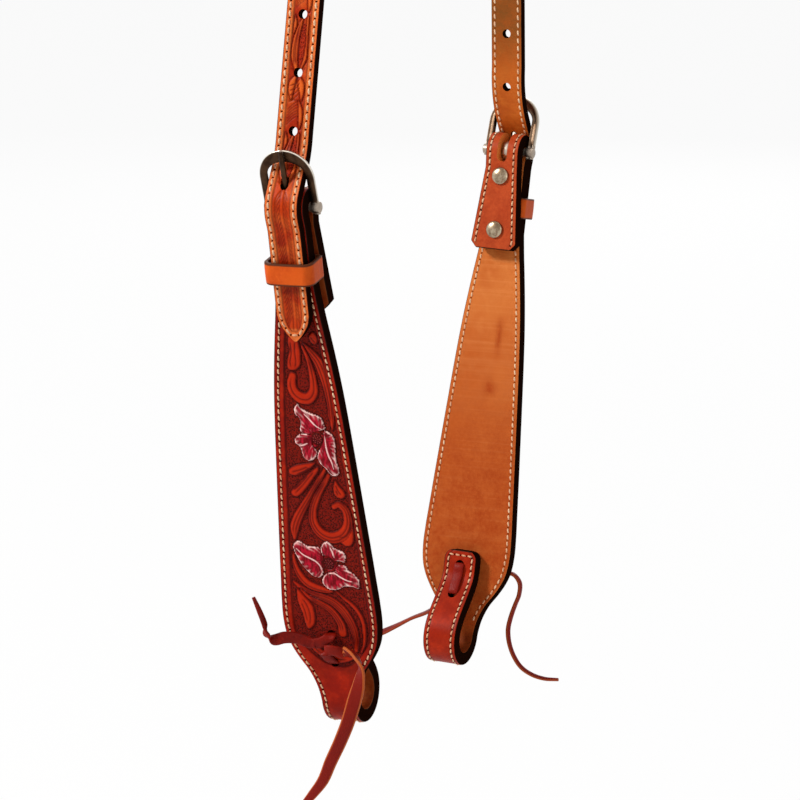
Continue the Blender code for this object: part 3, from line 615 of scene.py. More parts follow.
def leatherFinish(name, look):
    made, tree, shader, where = newFinish(name, look["face"])
    ground, petal, rim, groove = marksOf(tree, "tooling")
    edge, tone, raised, _ = marksOf(tree, "finish")
    broad = cloud(tree, where, 34, 4)
    blotch = cloud(tree, where, 130, 5, 0.6)
    fibre = cloud(tree, where, 620, 4, 0.65)
    streak = cloud(tree, where, 60, 4, 0.6, look["stretch"])
    veins = cloud(tree, where, 900, 3, 0.5, (1.0, 1.0, 0.25))
    stipple = cells(tree, where, 1250)
    white = maths(tree, "ADD", rim, maths(tree, "MULTIPLY", veins, 0.2))
    burnish = blend(tree, spread(tree, fibre, 0.35, 0.7), look["edge"], look["edgeLight"])
    face = blend(tree, spread(tree, broad, 0.35, 0.68), look["deep"], look["face"])
    face = layered(tree, face, (
        (spread(tree, blotch, 0.42, 0.72, (0, 0.55)), look["light"]),
        (spread(tree, streak, 0.45, 0.75, (0, look["streaks"])), look["streak"]),
        (maths(tree, "MULTIPLY", tone, spread(tree, blotch, 0.35, 0.65, (0.74, 1.0))), look["tone"]),
        (spread(tree, fibre, 0.30, 0.80, (0, 0.35)), look["deep"]),
        # painted highlight on the raised tooling
        (maths(tree, "MULTIPLY", raised, 0.62), look["light"]),
        (ground, blend(tree, spread(tree, stipple, 0.15, 0.62), look["pit"], look["ground"])),
        (petal, blend(tree, spread(tree, veins, 0.35, 0.7), look["petalDeep"], look["petal"])),
        (spread(tree, white, 0.2, 0.95), look["rim"]),
        (maths(tree, "MULTIPLY", groove, 0.82), look["antique"]),
        # burnished edges, and painted shade where a layer is shaded, take the edge colour
        (spread(tree, edge, 0.25, 0.62), burnish),
    ))
    rough = maths(tree, "ADD", look["rough"] - 0.1, maths(tree, "MULTIPLY", blotch, 0.2))
    rough = maths(tree, "ADD", rough, maths(tree, "MULTIPLY", ground, 0.22))
    rough = maths(tree, "SUBTRACT", rough, maths(tree, "MULTIPLY", rim, 0.12))
    pebble = maths(tree, "ADD", cells(tree, where, 1500), maths(tree, "MULTIPLY", fibre, 0.8))
    normal = bumped(tree, pebble, look["grain"], 0.0002)
    normal = bumped(tree, maths(tree, "MULTIPLY", stipple, ground), 0.75, 0.0005, normal)
    normal = bumped(tree, broad, 0.25, 0.0012, normal)
    fillIn(tree, shader, {
        "Base Color": face, "Roughness": rough, "Normal": normal, "Specular IOR Level": look["shine"],
        "Coat Weight": look["coat"], "Coat Roughness": 0.24,
    })
    return made


tooledLook = {
    "face": tint(132, 11, 1), "deep": tint(106, 6, 1), "light": tint(198, 44, 6), "tone": tint(192, 90, 45),
    "streak": tint(126, 12, 2), "streaks": 0.25, "stretch": (1, 1, 0.3), "pit": tint(34, 3, 1),
    "ground": tint(120, 18, 5), "petal": tint(192, 16, 46), "petalDeep": tint(112, 3, 16),
    "rim": tint(246, 204, 198), "antique": tint(34, 3, 2), "edge": tint(20, 8, 4),
    "edgeLight": tint(48, 21, 10), "rough": 0.42, "coat": 0.02, "grain": 0.14, "shine": 0.07,
}
strapLook = dict(
    tooledLook, face=tint(200, 64, 12), deep=tint(152, 32, 3), light=tint(230, 108, 38),
    tone=tint(230, 124, 60), ground=tint(164, 40, 10), pit=tint(84, 10, 2), antique=tint(82, 8, 1),
)
liningLook = dict(
    tooledLook, face=tint(212, 121, 56), deep=tint(196, 100, 40), light=tint(224, 136, 70),
    tone=tint(156, 54, 5), streak=tint(230, 148, 84), streaks=0.4, stretch=(0.15, 0.15, 14.0),
    rough=0.58, coat=0.0, grain=0.08, shine=0.08,
)
strapLiningLook = dict(
    liningLook, face=tint(204, 100, 31), deep=tint(172, 76, 16), light=tint(218, 118, 42),
    tone=tint(108, 66, 24), streaks=0.06,
)


def threadFinish():
    made, tree, shader, where = newFinish("waxedThread", tint(226, 196, 150))
    inputs = {"Vector": where, "Scale": 900.0, "Distortion": 1.5}
    twist = node(tree, "TexWave", inputs, bands_direction="DIAGONAL").outputs[1]
    soil = spread(tree, cloud(tree, where, 90, 3), 0.3, 0.7)
    colour = layered(tree, tint(222, 160, 116), (
        # dark twist bands: painted shade in the grooves between the plies
        (soil, tint(248, 212, 170)), (spread(tree, twist, 0.1, 0.6, (0.35, 0.0)), tint(150, 100, 62)),
    ))
    fillIn(tree, shader, {
        "Base Color": colour, "Normal": bumped(tree, twist, 0.4, 0.0002), "Roughness": 0.5,
        "Sheen Weight": 0.2,
    })
    return made


def plainLeather(name, look):  # keepers, laces, burnished and cut edges, and hole walls and awl dents painted dark as shade: a finish attribute darkens the edges
    made, tree, shader, where = newFinish(name, look["face"])
    edge, flesh, *_ = marksOf(tree, "finish")
    blotch = cloud(tree, where, look["blotch"], 5, 0.6)
    fibre = cloud(tree, where, 900, 4, 0.65)
    face = layered(tree, look["deep"], (
        (spread(tree, blotch, 0.35, 0.68), look["face"]),
        (spread(tree, fibre, 0.5, 0.8, (0, 0.5)), look["light"]),
        (flesh, look["flesh"]), (spread(tree, edge, 0.3, 0.8), look["edge"]),
    ))
    nap = maths(tree, "ADD", fibre, maths(tree, "MULTIPLY", cells(tree, where, 1400), 0.6))
    rough = spread(tree, blotch, 0.2, 0.8, (look["rough"] - 0.08, look["rough"] + 0.1))
    fillIn(tree, shader, {
        "Base Color": face, "Roughness": rough, "Normal": bumped(tree, nap, look["grain"], 0.0003),
        "Specular IOR Level": look["shine"],
    })
    return made


keeperLook = {
    "face": tint(214, 88, 22), "deep": tint(194, 70, 14), "light": tint(226, 108, 36),
    "flesh": tint(120, 80, 56), "edge": tint(84, 44, 26), "blotch": 90, "grain": 0.10, "rough": 0.42,
    "shine": 0.08,
}
laceLook = {
    "face": tint(128, 17, 4), "deep": tint(98, 8, 2), "light": tint(160, 38, 12), "flesh": tint(128, 20, 6),
    "edge": tint(178, 84, 36), "blotch": 160, "grain": 0.35, "rough": 0.45, "shine": 0.12,
}
# hole walls: a near-black painted shade for the inside of the punched holes
holeShadeLook = dict(
    laceLook, face=tint(52, 15, 7), deep=tint(34, 9, 4), light=tint(84, 28, 12), edge=tint(26, 10, 5),
    shine=0.0,
)
paleCutLook = dict(
    holeShadeLook, face=tint(226, 140, 70), deep=tint(190, 100, 40), light=tint(240, 166, 98),
    edge=tint(222, 140, 72),
)
edgeLook = dict(holeShadeLook, face=tint(30, 12, 6), deep=tint(20, 7, 3), light=tint(58, 28, 14))
# awl dents: dark colours painted as the shade in the stitch holes
awlShadeLook = dict(holeShadeLook, face=tint(72, 15, 6), deep=tint(48, 9, 3), light=tint(98, 28, 12))
paleAwlShadeLook = dict(holeShadeLook, face=tint(158, 82, 34), deep=tint(120, 54, 20), light=tint(176, 98, 46))


def metalFinish(name, look):
    made, tree, shader, where = newFinish(name, look["bright"])
    wear = cloud(tree, where, 240, 5, 0.6)
    scratch = cloud(tree, where, 300, 4, 0.6, (1.0, 1.0, 14.0))
    pits = cells(tree, where, 1100)
    rubbed, aged, *_ = marksOf(tree, "finish")
    old = blend(tree, spread(tree, wear, 0.35, 0.7), look["aged"], look["tarnish"])
    colour = layered(tree, look["dark"], (
        (spread(tree, wear, 0.36, 0.66), look["bright"]),
        (spread(tree, pits, 0.0, 0.16, (0.5, 0.0)), look["tarnish"]), (aged, old), (rubbed, look["rubbed"]),
    ))
    rough = spread(tree, scratch, 0.3, 0.75, (look["rough"], look["rough"] + 0.16))
    normal = bumped(tree, maths(tree, "ADD", scratch, wear), 0.08, 0.0002)
    fillIn(tree, shader, {"Base Color": colour, "Roughness": rough, "Normal": normal, "Metallic": 1.0})
    return made


steelLook = {
    "bright": tint(146, 122, 100), "dark": tint(112, 88, 68), "tarnish": tint(50, 34, 24),
    "aged": tint(76, 54, 38), "rubbed": tint(226, 218, 204), "rough": 0.32,
}
nickelLook = {
    "bright": tint(190, 174, 148), "dark": tint(124, 104, 82), "tarnish": tint(80, 60, 42),
    "aged": tint(120, 100, 80), "rubbed": tint(240, 232, 218), "rough": 0.2,
}

materials = {
    "tooled": leatherFinish("tooledLeather", tooledLook),
    "strap": leatherFinish("strapLeather", strapLook),
    "lining": leatherFinish("liningLeather", liningLook),
    "strapLining": leatherFinish("strapLiningLeather", strapLiningLook),
    "thread": threadFinish(),
    "keeper": plainLeather("keeperLeather", keeperLook),
    "lace": plainLeather("laceLeather", laceLook),
    "holeShade": plainLeather("holeShadeLeather", holeShadeLook),
    "edge": plainLeather("burnishedEdge", edgeLook),
    "awlShade": plainLeather("awlShadeMarks", awlShadeLook),
    "paleAwlShade": plainLeather("paleAwlShadeMarks", paleAwlShadeLook),
    "paleCut": plainLeather("paleCutLeather", paleCutLook),
    "steel": metalFinish("buckleSteel", steelLook),
    "nickel": metalFinish("screwNickel", nickelLook),
}
print("finishes mixed:", len(materials))

ribbonSection = 16


def ribbon(
    name, path, widthWays, width, thick, finish, widths=1.0, pitch=0.0007, squareness=3.2, ride="headstall",
    pale=0.3,
):
    path = np.array(path, float)
    reach = lengthAlong(path)
    at = np.linspace(0, reach[-1], max(8, round(reach[-1] / pitch)))
    line = smoothThrough(reach, path, at)
    ways = smoothThrough(reach, np.array(widthWays, float), at)
    widths = np.interp(at, reach, np.broadcast_to(widths, len(path)))
    along = headings(line)
    side = unit(ways - along * (ways * along).sum(1, keepdims=True))
    off = np.cross(along, side)
    turns = np.linspace(0, 2 * pi, ribbonSection, endpoint=False) + pi / ribbonSection
    power = 2 / squareness
    u = np.sign(np.cos(turns)) * np.abs(np.cos(turns)) ** power * width / 2
    n = np.sign(np.sin(turns)) * np.abs(np.sin(turns)) ** power * thick / 2
    points = line[:, None] + side[:, None] * (u[None] * widths[:, None])[..., None]
    points = points + off[:, None] * n[None, :, None]
    made = makeMesh(name, points.reshape(-1, 3), tubeFaces(len(line), ribbonSection), [finish])
    facesOut(made.data)
    marks = np.zeros((len(line), ribbonSection, 4))  # pale cut edges and ends, and the flesh side
    marks[..., 0] = (np.abs(u) > width * 0.44)[None] * pale
    marks[[0, -1], :, 0] = pale
    marks[..., 1] = (n > 0)[None] * 0.8
    putColours(made.data, "finish", marks.reshape(-1, 4))
    made.data.shade_smooth()
    smoothBy(made, 50)
    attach(made, ride)
    return made, line


tails = {  # each tail's own points follow the two that leave its knot
    "near_tie_side_tail": {
        "side": "near", "sign": -1, "width": 0.0050, "thick": 0.0016,
        "route": (
            (-0.0130, -0.1010, -0.4695), (-0.0178, -0.1040, -0.4691), (-0.0218, -0.1062, -0.4700),
            (-0.0244, -0.1078, -0.4680), (-0.0251, -0.1090, -0.4625), (-0.0271, -0.1100, -0.4565),
            (-0.0296, -0.1110, -0.4502),
        ),
        "ways": (
            (0, 0, 1), (0, 0, 1), (0, 0, 1), (0, 0.1, 1), (-0.5, 0.3, 0.9), (-0.9, 0.2, 0.2), (0.2, 1, 0),
            (0.6, 1, 0), (0.7, 0.8, 0),
        ),
        "widths": (0.8, 0.95, 1.06, 1.1, 1.06, 0.9, 0.62, 0.5, 0.3),
        "lay": "loose", "pale": 0.25, "rise": 0.0036,
    },
    "near_tie_long_tail": {
        "side": "near", "sign": 1, "width": 0.0058, "thick": 0.0017,
        "route": (
            (0.0140, -0.1035, -0.4712), (0.0195, -0.1070, -0.4728), (0.0231, -0.1090, -0.4772),
            (0.0228, -0.1100, -0.4846), (0.0205, -0.1100, -0.4926), (0.0174, -0.1100, -0.5025),
            (0.0128, -0.1090, -0.5128), (0.0076, -0.1080, -0.5230), (0.0030, -0.1070, -0.5327),
            (-0.0025, -0.1060, -0.5398), (-0.0081, -0.1050, -0.5464),
        ),
        "ways": (
            (0, -0.6, 0.8), (-0.1, -0.8, 0.6), (-0.3, -1, 0.5), (-0.1, -1, 0.3), (0.6, -0.7, 0), (1, -0.2, 0),
            (1, 0.2, 0), (1, 0.3, 0), (1, 0.3, 0), (1, 0.2, 0), (1, 0.1, 0), (1, 0, 0.1), (1, 0, 0.2),
        ),
        "widths": (0.6, 0.7, 0.75, 0.85, 1, 1.12, 1.15, 1.1, 1.05, 1, 0.9, 0.75, 0.55),
        "lay": "hanging", "pale": 1.0, "rise": 0.0,
    },
    "far_tie_side_tail": {
        "side": "far", "sign": 1, "width": 0.0042, "thick": 0.0016,
        "route": (
            (-0.0266, 0.0790, -0.4950), (-0.0352, 0.0820, -0.5008), (-0.0439, 0.0830, -0.5050),
            (-0.0516, 0.0830, -0.5094), (-0.0583, 0.0820, -0.5130), (-0.0662, 0.0810, -0.5167),
            (-0.0730, 0.0790, -0.5211),
        ),
        "ways": (
            (0, 0, 1), (0, 0, 1), (0, 0.8, 0.5), (0, 1, 0.2), (0, 1, 0.1), (0, 1, 0.3), (0, 0.8, 0.5),
            (0, 0.7, 0.7), (0, 0.7, 0.7),
        ),
        "widths": (0.8, 0.9, 1.1, 1.25, 1.25, 1.15, 1.0, 0.85, 0.55),
        "lay": "hanging", "pale": 0.5, "rise": 0.0,
    },
    "far_tie_long_tail": {
        "side": "far", "sign": -1, "width": 0.0042, "thick": 0.0016,
        "route": (
            (0.0056, 0.0825, -0.4773), (0.0103, 0.0840, -0.4772), (0.0135, 0.0850, -0.4812),
            (0.0134, 0.0850, -0.4871), (0.0112, 0.0850, -0.4929), (0.0092, 0.0845, -0.4990),
            (0.0080, 0.0840, -0.5052), (0.0095, 0.0830, -0.5133), (0.0117, 0.0830, -0.5184),
            (0.0155, 0.0830, -0.5233), (0.0208, 0.0840, -0.5267), (0.0270, 0.0850, -0.5283),
            (0.0342, 0.0860, -0.5282),
        ),
        "ways": (
            (0, 0, 1), (0, 0.3, 1), (-0.3, 0.9, 0.3), (-0.2, 1, 0), (0, 1, 0), (0.1, 1, 0), (0.2, 1, 0),
            (0.3, 1, 0), (0.3, 1, 0), (0.2, 1, 0), (0.1, 1, 0.2), (0, 1, 0.3), (0, 1, 0.4), (0, 1, 0.5),
            (0, 1, 0.5),
        ),
        "widths": (0.7, 0.8, 0.85, 0.85, 0.8, 0.72, 0.68, 0.66, 0.64, 0.62, 0.6, 0.58, 0.52, 0.46, 0.3),
        "lay": "hanging", "pale": 0.6, "rise": 0.0,
    },
}
knot = {"width": 0.0130, "depth": 0.0060, "run": 0.0017}


def makeTails():
    for name, look in tails.items():
        lift = leafFace + 2 * gap + knot["depth"] / 2
        middle = (tieUpper + tieLower) / 2 - look["rise"]
        starts = [(look["sign"] * (knot["width"] / 2 + gap + run), lift, middle) for run in (0, knot["run"])]
        path = np.vstack([onCheek(look["side"], starts), look["route"]])
        made, line = ribbon(
            name + "_lace", path, look["ways"], look["width"], look["thick"], materials["lace"],
            look["widths"], pale=look["pale"],
        )
        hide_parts(name)


makeTails()

cheekPattern = {  # floral tooling on the near cheek, in millimetres across and down from the heel bar
    "leaf": (
        (
            (-6.3, 61.3), (-5.9, 64.6), (-7.3, 68.9), (-7.8, 72.7), (-6.7, 74.1), (-4.8, 74.3),
            (-2.8, 73.4), (-1.2, 71.1), (-0.6, 66.6), (-0.8, 62.0), (-1.9, 58.0), (-5.5, 58.0),
        ),
        ((4.0, 57.9), (6.2, 55.4), (8.1, 57.2), (8.6, 59.2), (7.2, 61.4), (5.3, 60.8)),
        (
            (1.1, 117.7), (-3.1, 118.3), (-7.5, 119.2), (-11.0, 120.7), (-12.7, 122.3), (-12.2, 124.2),
            (-10.1, 124.8), (-7.3, 124.1), (-4.2, 122.6), (-1.3, 120.4),
        ),
        (
            (1.7, 119.7), (-2.6, 122.9), (-6.4, 126.6), (-10.2, 130.2), (-12.5, 132.4), (-12.1, 134.4),
            (-9.8, 135.0), (-6.8, 132.9), (-3.8, 129.5), (-0.9, 125.7), (2.2, 121.6),
        ),
        (
            (9.8, 125.4), (11.5, 128.1), (13.6, 130.9), (13.9, 133.1), (12.0, 134.4), (9.5, 133.7),
            (8.2, 131.3), (8.6, 128.1),
        ),
        (
            (-14.8, 179.8), (-12.1, 182.7), (-9.3, 186.0), (-7.6, 188.9), (-7.2, 192.9), (-7.5, 196.4),
            (-9.2, 199.1), (-11.4, 200.0), (-12.6, 197.0), (-13.2, 193.0), (-14.3, 189.5), (-15.3, 185.0),
        ),
        (
            (-13.2, 205.6), (-10.8, 209.4), (-7.4, 212.7), (-3.2, 215.0), (1.8, 215.8), (6.4, 215.1),
            (10.6, 212.6), (7.0, 211.9), (2.4, 212.0), (-2.6, 211.0), (-7.0, 208.4), (-10.2, 205.4),
        ),
        (
            (6.4, 153.2), (9.5, 156.1), (12.3, 157.5), (14.9, 156.4), (16.0, 152.9), (16.3, 148.5),
            (16.0, 144.1), (14.9, 143.3), (12.2, 148.9), (8.9, 152.0),
        ),
    ),
    "vein": (
        ((-4.9, 60.1), (-5.0, 66.4), (-6.0, 70.7), (-5.7, 72.8)),
        ((-2.6, 60.0), (-3.2, 66.3), (-3.1, 70.0), (-4.0, 72.9)), ((5.0, 57.8), (7.1, 60.3)),
        ((-11.2, 123.1), (-7.1, 121.8), (-2.7, 119.8)), ((-8.5, 124.0), (-5.0, 122.4), (-2.0, 120.4)),
        ((-10.6, 133.4), (-6.7, 129.5), (-2.8, 125.1), (0.0, 122.0)),
        ((-11.0, 131.8), (-7.4, 128.6), (-3.4, 124.4)), ((9.8, 127.8), (10.9, 130.8), (12.2, 132.6)),
        ((9.6, 130.4), (10.6, 132.8)), ((-12.5, 184.7), (-10.2, 189.1), (-9.5, 194.1), (-10.2, 198.0)),
        ((-13.2, 187.0), (-11.8, 191.5), (-11.2, 196.0)),
        ((8.4, 153.4), (12.0, 152.6), (14.6, 149.0), (15.3, 145.4)),
        ((-10.8, 207.2), (-7.0, 210.8), (-2.4, 213.2), (2.6, 213.9), (6.6, 213.3)),
    ),
    "stem": (  # centre line, half widths, and where across it each vein runs
        (
            (
                (1.4, 61.8), (4.4, 65.1), (7.5, 69.4), (9.4, 74.9), (10.6, 81.9), (11.2, 89.0),
                (11.2, 95.6), (11.0, 101.3),
            ),
            (0.9, 1.8, 2.3, 2.4, 2.0, 1.7, 1.5, 0.5),
            (-0.3, 0.38),
        ),
        (
            (
                (-5.7, 76.9), (-6.6, 80.7), (-5.7, 84.5), (-3.2, 86.8), (0.6, 87.2), (3.4, 84.3),
                (4.1, 79.5), (3.7, 73.9), (2.6, 68.3), (0.5, 62.5),
            ),
            (1.9, 2.3, 2.6, 2.9, 2.8, 2.4, 1.9, 1.5, 1.1, 0.7),
            (0.15,),
        ),
        (
            (
                (5.4, 120.6), (2.8, 124.7), (-0.7, 130.0), (-4.4, 135.6), (-8.2, 141.2), (-11.2, 146.4),
                (-12.8, 150.7), (-13.2, 155.4),
            ),
            (0.8, 1.2, 1.4, 1.7, 2.0, 2.3, 2.2, 0.9),
            (-0.42, 0.2),
        ),
        (
            (
                (7.7, 122.2), (4.2, 127.7), (-0.2, 134.8), (-2.7, 141.3), (-2.9, 147.1), (-0.3, 151.6),
                (4.6, 153.8), (10.1, 152.2), (13.3, 148.0), (14.0, 143.1), (12.7, 139.1), (10.2, 137.3),
                (7.9, 138.6),
            ),
            (1.0, 1.3, 1.7, 2.0, 2.3, 2.6, 2.9, 2.8, 2.5, 2.1, 1.8, 1.6, 1.4),
            (-0.05, 0.5),
        ),
        (
            (
                (-14.6, 162.2), (-14.4, 168.7), (-12.4, 173.6), (-9.2, 177.3), (-5.1, 179.1), (-1.5, 179.8),
                (2.1, 180.0),
            ),
            (0.5, 1.4, 1.8, 2.0, 2.0, 1.7, 1.1),
            (0.3,),
        ),
        (
            (
                (4.4, 180.1), (7.7, 183.0), (11.8, 186.2), (14.9, 190.4), (16.3, 194.9), (16.4, 200.3),
                (15.4, 206.0), (13.8, 209.7),
            ),
            (0.4, 0.7, 1.0, 1.1, 1.1, 1.0, 0.8, 0.4),
            (),
        ),
        (
            (
                (-16.0, 176.9), (-12.4, 179.9), (-8.0, 182.3), (-2.5, 183.6), (2.3, 185.4), (6.1, 188.6),
                (9.1, 192.9), (11.1, 197.8), (11.8, 202.8), (11.4, 208.7),
            ),
            (0.6, 1.3, 1.6, 1.7, 2.0, 2.2, 2.2, 2.0, 1.7, 1.0),
            (-0.4, 0.1, 0.5),
        ),
        (
            (
                (-12.8, 180.7), (-8.2, 184.8), (-3.4, 187.0), (0.9, 189.7), (3.6, 193.0), (5.4, 196.8),
                (5.7, 200.6),
            ),
            (0.5, 1.1, 1.4, 1.6, 1.8, 2.0, 2.2),
            (-0.2, 0.35),
        ),
    ),
    "flower": (  # centre, radius, then petals as outlines, each with its fold line
        (
            (3.1, 106.4),
            2.5,
            (
                (
                    (
                        (-4.6, 90.3), (-3.8, 91.6), (-1.8, 92.9), (1.0, 94.2), (4.3, 95.1), (6.1, 96.4),
                        (7.0, 98.8), (7.4, 100.9), (5.5, 101.9), (3.5, 102.6), (1.0, 103.4), (-0.6, 104.1),
                        (-3.0, 104.0), (-4.3, 103.4), (-4.7, 102.0), (-4.2, 100.0), (-4.2, 97.9),
                        (-4.8, 96.2), (-6.1, 95.4), (-6.6, 93.0), (-6.0, 91.5),
                    ),
                    ((-1.7, 94.6), (0.3, 96.6), (2.0, 98.6), (3.8, 100.2), (5.4, 101.0)),
                ),
                (
                    (
                        (0.6, 105.2), (-1.5, 104.4), (-4.0, 104.2), (-6.0, 105.2), (-7.7, 106.9),
                        (-7.6, 108.9), (-5.8, 110.2), (-5.1, 112.0), (-4.6, 114.9), (-2.9, 116.7),
                        (-0.9, 116.8), (1.2, 115.2), (2.3, 112.9), (1.6, 111.1), (0.4, 109.3),
                    ),
                    ((-5.6, 110.0), (-3.6, 109.4), (-1.6, 108.4)),
                ),
                (
                    (
                        (6.9, 102.1), (9.3, 102.9), (11.0, 104.7), (11.6, 108.0), (11.2, 112.3),
                        (11.3, 116.6), (12.3, 121.3), (11.0, 123.1), (9.0, 123.6), (7.2, 122.2),
                        (6.0, 120.4), (3.7, 118.4), (2.5, 115.8), (2.7, 113.4), (3.9, 111.2), (5.9, 107.4),
                        (6.5, 104.0),
                    ),
                    ((7.1, 104.5), (7.2, 109.2), (8.1, 114.0), (9.2, 116.8), (9.8, 120.0)),
                ),
            ),
        ),
        (
            (2.3, 166.8),
            2.5,
            (
                (
                    (
                        (-14.0, 158.6), (-12.2, 156.7), (-10.3, 157.0), (-7.9, 158.6), (-4.9, 159.1),
                        (-2.9, 158.8), (-0.5, 160.2), (-0.1, 162.0), (-0.5, 164.7), (-1.4, 167.1),
                        (-0.8, 170.6), (-2.5, 173.7), (-5.5, 173.5), (-8.3, 171.3), (-11.4, 167.5),
                        (-13.5, 163.2), (-14.3, 160.4),
                    ),
                    (
                        (-12.6, 160.2), (-9.7, 163.0), (-6.5, 164.5), (-3.7, 165.9), (-1.9, 167.9),
                        (-1.1, 170.6),
                    ),
                ),
                (
                    (
                        (-0.7, 159.6), (0.3, 157.3), (2.4, 156.0), (4.3, 157.1), (5.7, 158.7), (8.1, 159.8),
                        (10.2, 160.7), (10.8, 163.1), (10.0, 165.2), (7.6, 164.9), (5.6, 165.1),
                        (3.6, 163.7), (1.7, 162.9), (-0.3, 162.6),
                    ),
                    ((4.0, 158.4), (5.0, 161.0), (5.4, 163.2)),
                ),
                (
                    (
                        (6.2, 167.7), (8.4, 166.7), (10.7, 167.6), (11.6, 169.5), (13.9, 170.8),
                        (16.2, 173.6), (16.6, 176.2), (15.4, 177.8), (12.7, 177.0), (9.2, 177.3),
                        (5.0, 179.2), (1.0, 179.1), (-1.8, 176.3), (-1.0, 173.6), (0.7, 171.9),
                        (2.8, 170.8), (4.9, 170.2),
                    ),
                    ((1.4, 171.5), (4.8, 171.1), (7.7, 172.7), (10.5, 174.0), (13.4, 174.5)),
                ),
            ),
        ),
    ),
}
carving = {
    "depth": 0.50, "dome": 0.24, "bevel": 0.50, "veinDepth": 0.22, "veinWidth": 0.36, "strapStep": 0.4,
    "margins": (5.2, 4.1), "front": (0.044, 0.2235), "top": 46.0, "near": 1.4, "border": 0.38,
    "borderDepth": 0.30, "beads": ((0.0, 0, 1), (1.0, 0, 5), (1.9, 0.3, 10)),
    "bottom": (
        (-24, 198), (-17, 205), (-12, 210.6), (-7.5, 214.2), (-2.7, 216.6), (2.3, 217.2), (8, 216.2),
        (13, 212), (18, 205), (24, 198),
    ),
}


def closedCurve(points, steps=5):
    points = np.array(points, float)
    before, after, next2 = (np.roll(points, shift, 0) for shift in (1, -1, -2))
    bend = 2 * before - 5 * points + 4 * after - next2
    twist = 3 * points - before - 3 * after + next2
    made = []
    for share in np.arange(steps) / steps:
        made.append(0.5 * (2 * points + (after - before) * share + bend * share**2 + twist * share**3))
    return np.stack(made, 1).reshape(-1, 2)


def openCurve(points, extra=(), step=0.7):
    points = np.array(points, float)
    reach = lengthAlong(points)
    at = np.linspace(0, reach[-1], max(3, round(reach[-1] / step)))
    return smoothThrough(reach, points, at), (smoothThrough(reach, extra, at) if len(extra) else None)


def toPath(points, path):  # distance to a path, and how far along it
    start, run = path[:-1], np.diff(path, axis=0)
    rel = points[:, None] - start[None]
    share = np.clip((rel * run).sum(-1) / np.maximum((run * run).sum(-1), 1e-9), 0, 1)
    off = rel - share[..., None] * run
    distance = (off**2).sum(-1)
    best = distance.argmin(1)
    pick = np.arange(len(points))
    return np.sqrt(distance[pick, best]), best + share[pick, best]


def insideOf(points, outline):
    nextOne = np.roll(outline, -1, 0)
    x, y = points[:, 0:1], points[:, 1:2]
    crosses = (outline[:, 1] > y) != (nextOne[:, 1] > y)
    run, span = (nextOne - outline).T
    at = outline[:, 0] + (y - outline[:, 1]) / np.where(span == 0, 1e-9, span) * run
    return (crosses & (x < at)).sum(1) % 2 == 1


def depthIn(points, outline):  # distance to an outline, positive inside it
    distance, _ = toPath(points, np.vstack([outline, outline[:1]]))
    return np.where(insideOf(points, outline), distance, -distance)


ground, petal, rim, groove = range(4)  # the parts of the dye


